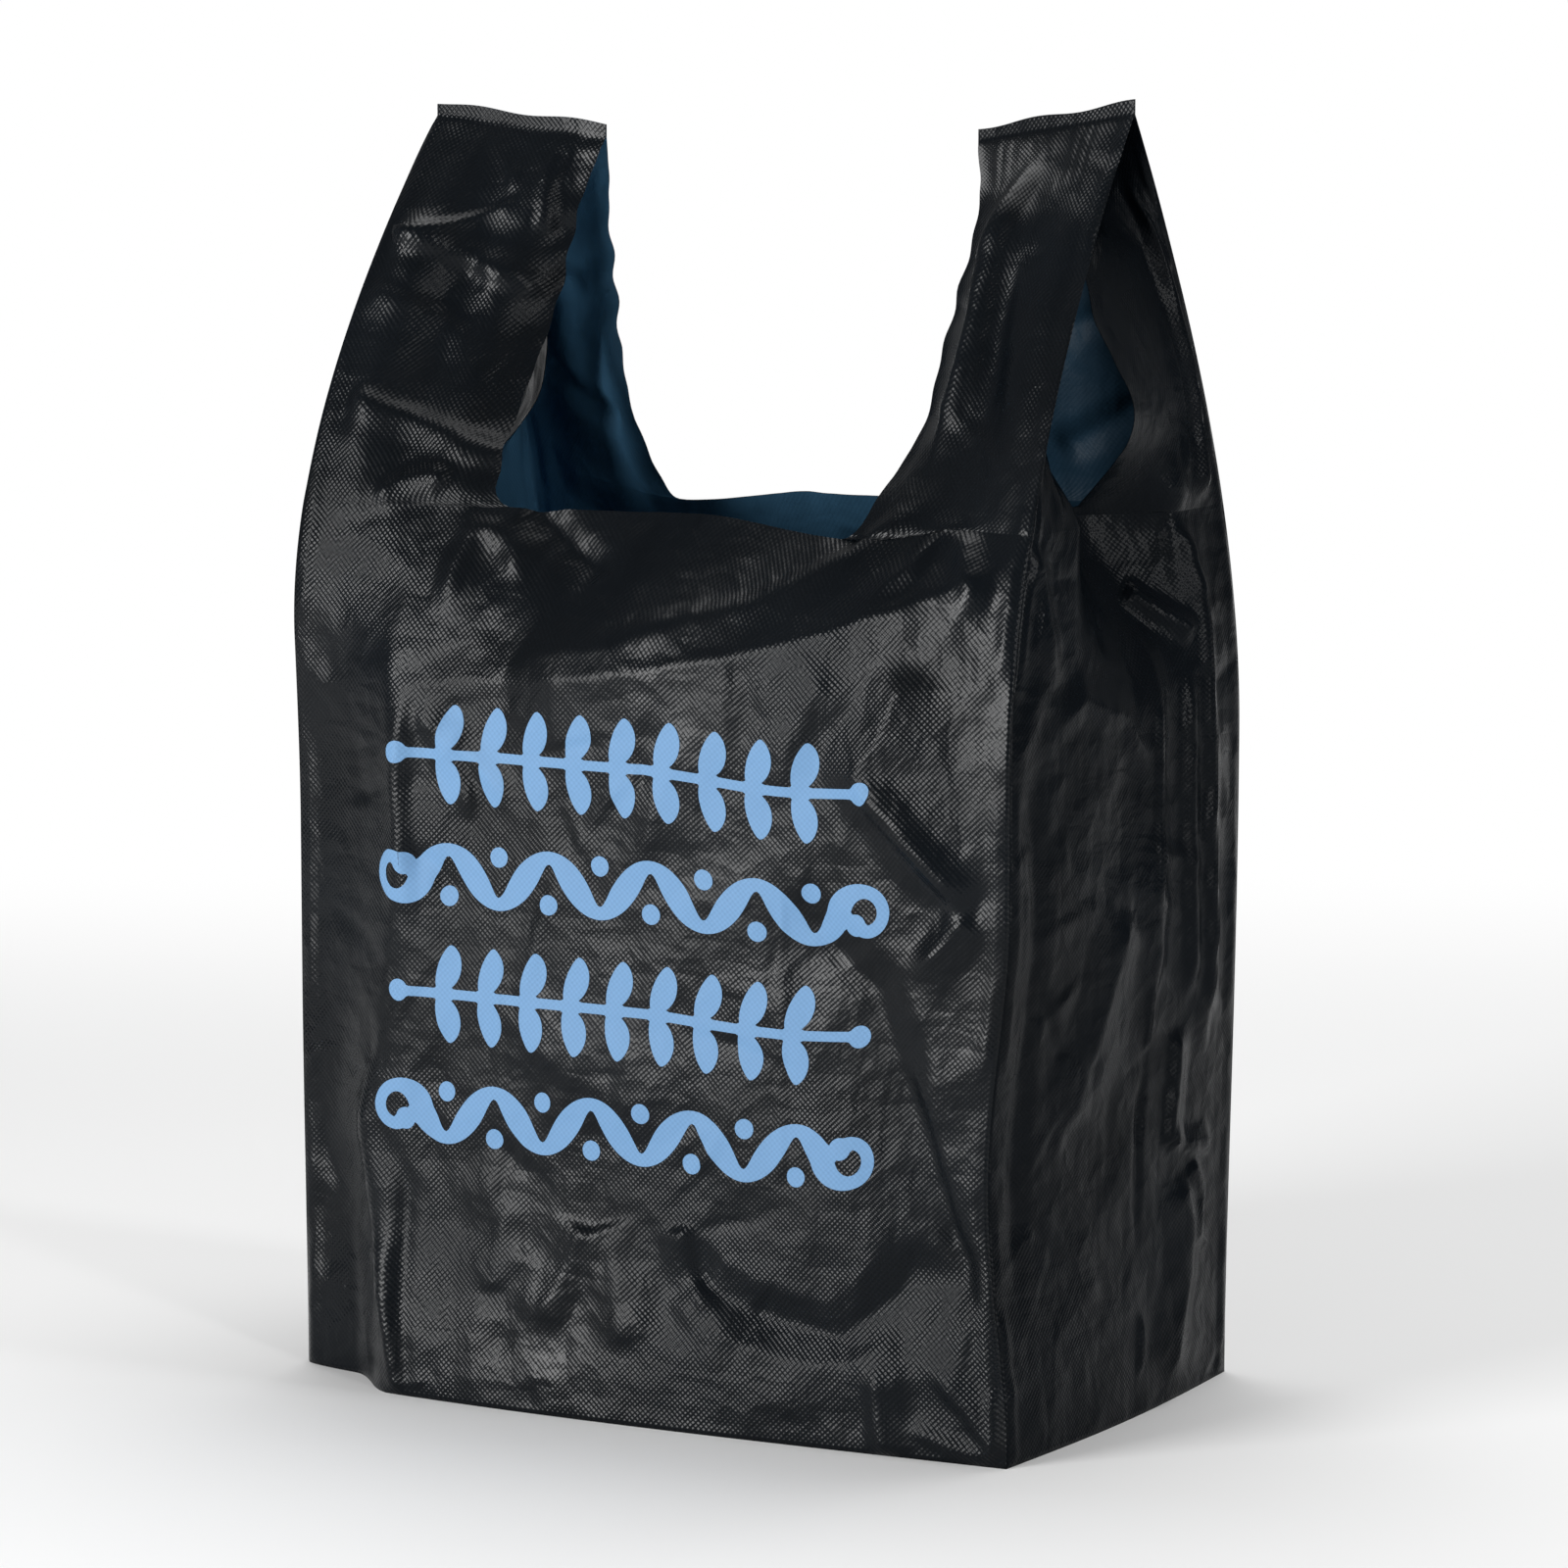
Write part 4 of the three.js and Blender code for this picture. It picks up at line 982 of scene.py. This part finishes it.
def wave_strokes(row, side):
    """A swelling wave with a curl at each end and a dot in each bend: paths and half breadths."""
    half_span = WAVE_LENGTH * WAVE_PERIODS / 2
    x = np.linspace(-half_span, half_span, WAVE_STEPS * WAVE_PERIODS)
    turn = 2 * math.pi * x / WAVE_LENGTH
    wave = np.stack([x, row + side * WAVE_RISE * np.sin(turn)], -1)
    strokes = [(wave, WAVE_THIN + WAVE_SWELL * np.cos(turn) ** 2)]
    angle = np.linspace(0, CURL_TURN, CURL_STEPS)
    radius = lerp(CURL_RADIUS, CURL_END_RADIUS, angle / CURL_TURN)
    for end in (-1, 1):
        start = 0 if end < 0 else math.pi
        middle = end * (half_span + CURL_RADIUS)
        curl = np.stack([middle + radius * np.cos(start - side * angle),
                         row + radius * np.sin(start - side * angle)], -1)
        breadths = lerp(WAVE_THIN + WAVE_SWELL, WAVE_THIN, smooth(angle, 0, CURL_TURN / 3))
        strokes.append((curl, breadths))
        strokes.append((curl[-1] + np.zeros((2, 1)), np.full(2, CURL_END_DISC)))
    for number in range(2 * WAVE_PERIODS):
        bend = (number + 0.5) * WAVE_LENGTH / 2 - half_span
        drop = -side * DOT_DROP * math.sin(2 * math.pi * bend / WAVE_LENGTH)
        strokes.append((np.array([(bend, row + drop)] * 2), np.full(2, DOT_RADIUS)))
    return strokes


def leaf_strokes(row):
    """A stem with slanted leaves on both sides: paths and half breadths."""
    half_span = WAVE_LENGTH * WAVE_PERIODS / 2 + CURL_RADIUS
    stem = np.array([(-half_span, row), (half_span, row)], float)
    strokes = [(stem, np.full(2, STEM_HALF_BREADTH))]
    strokes += [(np.array([end, end]), np.full(2, CURL_END_DISC)) for end in stem]
    share = np.linspace(0, 1, LEAF_STEPS)
    breadths = LEAF_TIP + LEAF_HALF_BREADTH * np.sin(math.pi * share) ** LEAF_FULLNESS
    turn = LEAF_TURN + (share - 0.5) * LEAF_BEND
    along = LEAF_LENGTH * share
    count = int((half_span - LEAF_STEP) / LEAF_STEP)
    for number in range(-count, count + 1):
        for side in (-1, 1):
            leaf = np.stack([(number - LEAF_SHIFT) * LEAF_STEP + along * np.cos(turn),
                             row + side * (STEM_HALF_BREADTH + along * np.sin(turn))], -1)
            strokes.append((leaf, breadths))
    return strokes


def design(x, z):
    """The printed design, above 0 inside: rows of waves and of leaves by turns."""
    inside = np.full(x.shape, -1.0)
    for number in range(PRINT_ROWS):
        row = PRINT_FOOT + PRINT_STEP * number
        strokes = leaf_strokes(row) if number % 2 else wave_strokes(row, number - 1)
        for path, half_breadths in strokes:
            inside = np.maximum(inside, stroke(x, z, path, half_breadths))
    return inside


def printed_faces(film):
    """The design as places and faces that lie on the front panel, with their flat coordinates."""
    size = film.form.size
    across = np.arange(-PRINT_HALF_WIDTH, PRINT_HALF_WIDTH + PRINT_CELL, PRINT_CELL)
    top = PRINT_FOOT + (PRINT_ROWS - 1 + PRINT_MARGIN) * PRINT_STEP
    up = np.arange(PRINT_FOOT - PRINT_STEP / 2, top, PRINT_CELL)
    value = design(*np.meshgrid(across, up, indexing="ij"))
    value[value == 0] = SMALL
    numbers, flat, faces = {}, [], []

    def number(key, a, b, value_a, value_b):
        if key not in numbers:
            share = value_a / (value_a - value_b) if value_a * value_b < 0 else 0
            numbers[key] = len(flat)
            flat.append((lerp(across[a[0]], across[b[0]], share), lerp(up[a[1]], up[b[1]], share)))
        return numbers[key]

    highest = np.maximum.reduce([value[:-1, :-1], value[1:, :-1], value[1:, 1:], value[:-1, 1:]])
    for i, j in np.argwhere(highest > 0):
        corners = [(i, j), (i + 1, j), (i + 1, j + 1), (i, j + 1)]
        face = []
        for a, b in zip(corners, corners[1:] + corners[:1]):
            value_a, value_b = value[a], value[b]
            if value_a > 0:
                face.append(number((a, a), a, a, value_a, value_a))
            if value_a * value_b < 0:
                low, high = sorted((a, b))
                face.append(number((low, high), low, high, value[low], value[high]))
        faces.append(face)
    flat = np.array(flat) + (size.front_width / 2, 0)
    return on_front(film, flat), faces, flat


def on_front(film, flat):
    """Places on the front panel at flat coordinates, a little above the film."""
    size = film.form.size
    normals = film.normals()
    shares = np.array([film.share(column) for column in range(film.panel_columns + 1)])
    column = np.interp(flat[:, 0] / size.front_width, shares, np.arange(len(shares)))
    row = flat[:, 1] / size.mouth_height * BODY_ROWS
    first_column, first_row = column.astype(int), row.astype(int)
    u, v = (column - first_column)[:, None], (row - first_row)[:, None]
    table = np.array([[film.numbers[c, r, 0] for r in range(BODY_ROWS + 1)]
                      for c in range(film.panel_columns + 1)])
    spots = []
    for values in (film.places, normals):
        a, b, c, d = (values[table[first_column + right, first_row + above]]
                      for right, above in ((0, 0), (1, 0), (1, 1), (0, 1)))
        spots.append(np.where(u >= v, a + u * (b - a) + v * (c - b), a + u * (c - d) + v * (d - a)))
    return spots[0] + PRINT_LIFT * spots[1]


def up_to_weld(form, x):
    """How far above the mouth the foot of a handle's weld lies at each x."""
    rises = []
    for side in (-1, 1):
        handle = form.handles[side]
        share = np.clip((x - handle.outer[0]) / (handle.inner[0] - handle.outer[0]), 0, 1)
        rises.append(handle.rise + share * (handle.inner[2] - handle.outer[2]))
    return np.where(x > 0, rises[1], rises[0])


def make_mesh(name, places_mm, triangles):
    mesh = bpy.data.meshes.new(name)
    moved = (np.asarray(places_mm) + np.array(ORIGIN_SHIFT)) * MM
    mesh.from_pydata(moved.tolist(), [], [tuple(map(int, t)) for t in triangles])
    mesh.update()
    piece = bpy.data.objects.new(name, mesh)
    bpy.context.scene.collection.objects.link(piece)
    return piece


def select_only(piece):
    bpy.ops.object.select_all(action="DESELECT")
    piece.select_set(True)
    bpy.context.view_layer.objects.active = piece


def lay_flat_map(piece, flat):
    """A UV map that holds the film's flat coordinates in metres."""
    layer = piece.data.uv_layers.new(name="FilmFlat")
    corners = np.zeros(len(piece.data.loops), int)
    piece.data.loops.foreach_get("vertex_index", corners)
    layer.data.foreach_set("uv", (np.asarray(flat)[corners] * MM).astype(np.float32).ravel())


def finish_piece(piece):
    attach(piece, "root")


def new_material(name):
    material = bpy.data.materials.new(name)
    material.use_nodes = True
    nodes = material.node_tree.nodes
    nodes.clear()
    output = nodes.new("ShaderNodeOutputMaterial")
    shader = nodes.new("ShaderNodeBsdfPrincipled")
    material.node_tree.links.new(shader.outputs["BSDF"], output.inputs["Surface"])
    return material, shader


def feed(tree, node, inputs):
    """Sets a node's inputs: each is a number, a vector or another node's output."""
    for name, value in dict(inputs).items():
        if isinstance(value, bpy.types.NodeSocket):
            tree.links.new(value, node.inputs[name])
        else:
            node.inputs[name].default_value = value


def add_node(tree, kind, output, inputs=(), **settings):
    """A new shader node's output, after its settings and inputs are set."""
    node = tree.nodes.new(f"ShaderNode{kind}")
    for name, value in settings.items():
        setattr(node, name, value)
    feed(tree, node, inputs)
    return node.outputs[output]


def math_node(tree, operation, *values):
    return add_node(tree, "Math", "Value", enumerate(values), operation=operation)


def noise_node(tree, vector, scale, detail, distortion=0.0):
    return add_node(tree, "TexNoise", "Fac", {
        "Vector": vector, "Scale": scale, "Detail": detail, "Distortion": distortion})


def between(tree, value, low, high, least=0.3, most=0.7):
    """A value from least to most, or from the usual reach of noise, brought to low to high."""
    return add_node(tree, "MapRange", "Result", {
        "Value": value, "From Min": least, "From Max": most, "To Min": low, "To Max": high})


def mix_colours(tree, share, one, two, blend_type="MIX"):
    """Two colours mixed: each is three numbers or another node's output."""
    one, two = (c if isinstance(c, bpy.types.NodeSocket) else (*c, 1) for c in (one, two))
    return add_node(tree, "Mix", "Result", {"Factor": share, "A": one, "B": two},
                    data_type="RGBA", blend_type=blend_type)


def axis(tree, vector, name):
    return add_node(tree, "SeparateXYZ", name, {"Vector": vector})


def flat_map(tree):
    return add_node(tree, "UVMap", "UV", uv_map="FilmFlat")


def emboss_height(tree, flat, pitch):
    """Small diamonds pressed into the film, on its flat coordinates."""
    turns = math.sqrt(2) * math.pi / pitch
    ways = (math_node(tree, "MULTIPLY", axis(tree, flat, name), turns) for name in "XY")
    return math_node(tree, "MULTIPLY", *(math_node(tree, "SINE", way) for way in ways))


def facets_node(tree, vector, bending, scale):
    """Straight-edged facets, bent a little by noise, as thin film shows after it was crumpled."""
    bend_scale, amount = bending
    shift = add_node(tree, "TexNoise", "Color", {"Vector": vector, "Scale": bend_scale})
    bent = add_node(tree, "VectorMath", "Vector", {0: shift, 1: (amount,) * 3, 2: vector},
                    operation="MULTIPLY_ADD")
    return add_node(tree, "TexVoronoi", "Distance", {"Vector": bent, "Scale": scale},
                    distance="MANHATTAN")


def bump_chain(tree, *layers):
    """Bumps laid over one another: each layer is a height, a strength and a distance in metres."""
    bumps = {}
    for height, strength, distance in layers:
        inputs = {"Height": height, "Strength": strength, "Distance": distance, **bumps}
        bumps = {"Normal": add_node(tree, "Bump", "Normal", inputs)}
    return bumps["Normal"]


def film_material(name, colours, pitch, finish):
    """Semi-gloss embossed film: slight changes of tone and gloss, diamonds, facets and crinkles.

    The two colours are those of the bag's left and right; on the inside they differ by painted
    light and shade.
    """
    roughness, emboss, gleam = finish
    material, shader = new_material(name)
    tree = material.node_tree
    place = add_node(tree, "TexCoord", "Object")
    flat = flat_map(tree)
    # Mix of the left and right colours across the bag: painted light and shade on the inside
    across = between(tree, axis(tree, place, "X"), 0, 1, -LINING_PAINTED_LIGHT_REACH, LINING_PAINTED_LIGHT_REACH)
    blotches = between(tree, noise_node(tree, place, *TONE_NOISE), 0, 1)
    tone = mix_colours(tree, across, *colours)
    rough_from, rough_to = (roughness + change for change in ROUGHNESS_CHANGE)
    worn = between(tree, noise_node(tree, place, *WORN_NOISE), WORN_EMBOSS, 1)
    diamonds = math_node(tree, "MULTIPLY", emboss_height(tree, flat, pitch), worn)
    crinkles, crinkle_strength, crinkle_height = CRINKLES
    feed(tree, shader, {
        "Base Color": mix_colours(tree, blotches, tone, (TONE_CHANGE,) * 3, "MULTIPLY"),
        "Roughness": between(tree, noise_node(tree, place, *GLOSS_NOISE), rough_from, rough_to),
        "Specular IOR Level": gleam,
        "Normal": bump_chain(
            tree,
            *((facets_node(tree, flat, bending, scale), strength, height)
              for bending, scale, strength, height in FACETS),
            (noise_node(tree, flat, *crinkles), crinkle_strength, crinkle_height),
            (diamonds, emboss, EMBOSS_HEIGHT)),
    })
    return material


def ink_material(colour, pitch):
    """Flat ink that takes on the film's diamonds and is a little thin on top of them."""
    material, shader = new_material("print_ink")
    tree = material.node_tree
    flat = flat_map(tree)
    diamonds = emboss_height(tree, flat, pitch)
    raised = math_node(tree, "MULTIPLY_ADD", diamonds, 0.5, 0.5)
    grain, grain_strength, grain_height = INK_GRAIN
    thin, full = ([tone * c for c in colour] for tone in INK_TONES)
    feed(tree, shader, {
        "Base Color": mix_colours(tree, raised, thin, full),
        "Roughness": INK_ROUGHNESS,
        "Specular IOR Level": INK_GLEAM,
        "Normal": bump_chain(
            tree,
            (noise_node(tree, flat, *grain), grain_strength, grain_height),
            (diamonds, *INK_EMBOSS)),
    })
    return material


def panel_mesh(film, panel):
    """One panel of the film as an object with its flat map, and the numbers of its places."""
    triangles = np.array(film.triangles[panel])
    numbers, corners = np.unique(triangles, return_inverse=True)
    piece = make_mesh(f"film_{panel}", film.places[numbers], corners.reshape(-1, 3))
    flat = film.flat[numbers].copy()
    if panel == "left":
        flat[flat[:, 0] == 0, 0] = film.creases[-1]
    lay_flat_map(piece, flat)
    return piece, numbers


def add_wall(piece, thickness, free):
    """Gives a panel its wall, which runs out to nothing where the panel joins its neighbour."""
    group = piece.vertex_groups.new(name="free")
    group.add([int(number) for number in np.flatnonzero(free)], 1, "REPLACE")
    wall = piece.modifiers.new("wall", "SOLIDIFY")
    wall.thickness = thickness
    wall.offset = -1
    wall.vertex_group = group.name
    wall.material_offset = 1
    wall.material_offset_rim = 0
    select_only(piece)
    bpy.ops.object.modifier_apply(modifier=wall.name)
    bpy.ops.object.mode_set(mode="EDIT")
    bpy.ops.mesh.select_all(action="SELECT")
    bpy.ops.mesh.remove_doubles(threshold=MERGE_DISTANCE)
    bpy.ops.object.mode_set(mode="OBJECT")
    piece.vertex_groups.clear()


def round_creases(piece, places_mm, normals):
    """Shades a panel with the whole film's normals, so that its creases look round."""
    mesh = piece.data
    nearest = kdtree.KDTree(len(places_mm))
    for number, place in enumerate(places_mm):
        nearest.insert((place + np.array(ORIGIN_SHIFT)) * MM, number)
    nearest.balance()
    of_film = [Vector(normals[nearest.find(vertex.co)[1]]) for vertex in mesh.vertices]
    shading = []
    for polygon in mesh.polygons:
        for corner in polygon.loop_indices:
            normal = of_film[mesh.loops[corner].vertex_index]
            turned = polygon.normal.dot(normal)
            facing = normal * math.copysign(1, turned)
            shading.append(polygon.normal if abs(turned) < RIM_SHARE else facing)
    mesh.normals_split_custom_set(shading)


def flat_sizes(sizes):
    """Width and length in metres, and area, that each panel has before it is folded."""
    length = sizes.flat_length - sizes.base_depth / 2
    handles = 2 * sizes.handle_width * (length - sizes.mouth_height)
    gusset_handles = GUSSET_STRIP_SHARE * handles * sizes.base_depth / (2 * sizes.handle_width)
    panel_area = sizes.front_width * sizes.mouth_height + handles
    gusset_area = sizes.base_depth * sizes.mouth_height + gusset_handles / 2
    panel = (sizes.front_width, length), panel_area
    gusset = (sizes.base_depth, length), gusset_area
    base = (sizes.front_width, sizes.base_depth), sizes.front_width * sizes.base_depth
    return {name: ((width * MM, height * MM), area * MM**2)
            for name, ((width, height), area) in zip(PANELS, (panel, gusset, panel, gusset, base))}


def folded_film(sizes):
    film = Film(Form(sizes))
    film.fold(sizes.crumple)
    return film


class BAG_OT_print(bpy.types.Operator):
    """Makes the printed design on the front."""

    bl_idname = "bag.print"
    bl_label = "Make the print"

    def execute(self, context):
        sizes, colours = context.scene.bag_sizes, context.scene.bag_colours
        places_mm, faces, flat = printed_faces(folded_film(millimetres(sizes)))
        piece = make_mesh("print", places_mm, faces)
        lay_flat_map(piece, flat)
        piece.data.materials.append(ink_material(colours.ink, sizes.emboss_pitch))
        select_only(piece)
        bpy.ops.object.shade_smooth()
        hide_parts("film_bag")
        finish_piece(piece)
        return {"FINISHED"}


class BAG_OT_film(bpy.types.Operator):
    """Makes the folded film of the bag, one piece for each panel between its creases."""

    bl_idname = "bag.film"
    bl_label = "Make the film"

    def execute(self, context):
        sizes, colours = context.scene.bag_sizes, context.scene.bag_colours
        film = folded_film(millimetres(sizes))
        normals = film.normals()
        used = np.zeros(len(film.places), int)
        for panel in PANELS:
            used[np.unique(np.array(film.triangles[panel]))] += 1
        outer = colours.film, colours.film
        outside = film_material("film_outside", outer, sizes.emboss_pitch, OUTSIDE_FINISH)
        gusset = film_material("film_gusset", outer, sizes.emboss_pitch, GUSSET_FINISH)
        flats = flat_sizes(millimetres(sizes))
        for panel in PANELS:
            piece, numbers = panel_mesh(film, panel)
            # Each panel's inside is a copy of the inside colour with painted light and shade:
            # lighter where it lies in shade, darker where it is lit
            inner = [[share * c for c in colours.lining] for share in LINING_PAINTED_LIGHT_SHARES[panel]]
            lining = film_material(f"film_inside_painted_light_{panel}", inner, sizes.emboss_pitch, INSIDE_FINISH)
            piece.data.materials.append(gusset if panel in ("left", "right") else outside)
            piece.data.materials.append(lining)
            select_only(piece)
            bpy.ops.object.shade_smooth()
            add_wall(piece, sizes.film_thickness, used[numbers] == 1)
            round_creases(piece, film.places[numbers], normals[numbers])
            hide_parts("film_bag")
            finish_piece(piece)
        return {"FINISHED"}


class BAG_OT_stage(bpy.types.Operator):
    """Makes the floor, the lamps, the world and the camera."""

    bl_idname = "bag.stage"
    bl_label = "Make the stage"

    def execute(self, context):
        scene = context.scene
        make_floor()
        make_world(scene)
        for name, place, aim, size, power in LAMPS:
            make_lamp(name, place, aim, size, power)
        make_camera(scene)
        scene.view_settings.view_transform = "Standard"
        return {"FINISHED"}


def smooth_range(tree, value, low, high):
    return add_node(tree, "MapRange", "Result", {"Value": value, "From Min": low, "From Max": high},
                    interpolation_type="SMOOTHSTEP")


def floor_material():
    """A pale matt floor that keeps the bag's shadow and turns plain white behind it."""
    material, shader = new_material("stage_white")
    tree = material.node_tree
    feed(tree, shader, {"Base Color": FLOOR_COLOUR, "Roughness": 1, "Specular IOR Level": 0})
    place = add_node(tree, "TexCoord", "Object")
    turned = add_node(tree, "Mapping", "Vector", {
        "Vector": place, "Rotation": (0, 0, -CAMERA_AZIMUTH)})
    deep = axis(tree, turned, "Y")
    behind = smooth_range(tree, deep, WHITE_FROM, WHITE_FULL)
    aside = math_node(tree, "ABSOLUTE", axis(tree, turned, "X"))
    aside = math_node(tree, "SUBTRACT", aside, math_node(tree, "MULTIPLY", deep, WHITE_SPREAD))
    beside = smooth_range(tree, aside, WHITE_HALF_WIDTH + WHITE_FADE, WHITE_HALF_WIDTH)
    paths = tree.nodes.new("ShaderNodeLightPath")
    seen = paths.outputs["Is Camera Ray"]
    for kind in ("Glossy", "Transmission"):
        seen = math_node(tree, "MAXIMUM", seen, paths.outputs[f"Is {kind} Ray"])
    share = math_node(tree, "MULTIPLY", math_node(tree, "MULTIPLY", behind, beside), seen)
    glow = add_node(tree, "Emission", "Emission")
    mix = add_node(tree, "MixShader", "Shader", {0: share, 1: shader.outputs["BSDF"], 2: glow})
    output = next(node for node in tree.nodes if node.type == "OUTPUT_MATERIAL")
    feed(tree, output, {"Surface": mix})
    return material


def make_floor():
    bpy.ops.object.select_all(action="DESELECT")
    bpy.ops.mesh.primitive_plane_add(size=FLOOR_SIZE, location=(0, 0, 0))
    floor = bpy.context.object
    floor.name = "stage_floor"
    floor.data.materials.append(floor_material())


def make_world(scene):
    world = bpy.data.worlds.new("studio")
    world.use_nodes = True
    background = world.node_tree.nodes["Background"]
    background.inputs["Color"].default_value = (1, 1, 1, 1)
    background.inputs["Strength"].default_value = WORLD_STRENGTH
    scene.world = world


def aimed(place, target):
    return (Vector(target) - Vector(place)).to_track_quat("-Z", "Y").to_euler()


def make_lamp(name, place, aim, size, power):
    data = bpy.data.lights.new(name, "AREA")
    data.shape = "RECTANGLE"
    data.size, data.size_y = size
    data.energy = power
    lamp = bpy.data.objects.new(name, data)
    bpy.context.scene.collection.objects.link(lamp)
    lamp.location = place
    lamp.rotation_euler = aimed(place, aim)


def make_camera(scene):
    data = bpy.data.cameras.new("photo_camera")
    data.lens = CAMERA_LENS
    data.sensor_width = CAMERA_SENSOR
    data.clip_end = CAMERA_RANGE
    camera = bpy.data.objects.new("photo_camera", data)
    scene.collection.objects.link(camera)
    level = math.cos(CAMERA_ELEVATION)
    back = Vector((math.sin(CAMERA_AZIMUTH) * level, -math.cos(CAMERA_AZIMUTH) * level,
                   math.sin(CAMERA_ELEVATION)))
    camera.location = CAMERA_TARGET + CAMERA_DISTANCE * back
    camera.rotation_euler = aimed(camera.location, CAMERA_TARGET)
    scene.camera = camera


class BAG_PT_panel(bpy.types.Panel):
    """Lists the sizes, the colours and the steps."""

    bl_idname = "BAG_PT_panel"
    bl_label = "Carrier bag"
    bl_space_type = "VIEW_3D"
    bl_region_type = "UI"
    bl_category = "Carrier bag"

    def draw(self, context):
        for group in (context.scene.bag_sizes, context.scene.bag_colours):
            for name in type(group).__annotations__:
                self.layout.prop(group, name)
        for step in STEPS:
            self.layout.operator(step.bl_idname)


STEPS = (BAG_OT_print, BAG_OT_film, BAG_OT_stage)
CLASSES = (BagSizes, BagColours, *STEPS, BAG_PT_panel)


def register():
    for item in CLASSES:
        bpy.utils.register_class(item)
    bpy.types.Scene.bag_sizes = PointerProperty(type=BagSizes)
    bpy.types.Scene.bag_colours = PointerProperty(type=BagColours)


def unregister():
    del bpy.types.Scene.bag_colours
    del bpy.types.Scene.bag_sizes
    for item in reversed(CLASSES):
        bpy.utils.unregister_class(item)


def main():
    register()
    bpy.ops.bag.print()
    bpy.ops.bag.film()
    bpy.ops.bag.stage()


if __name__ == "__main__":
    main()
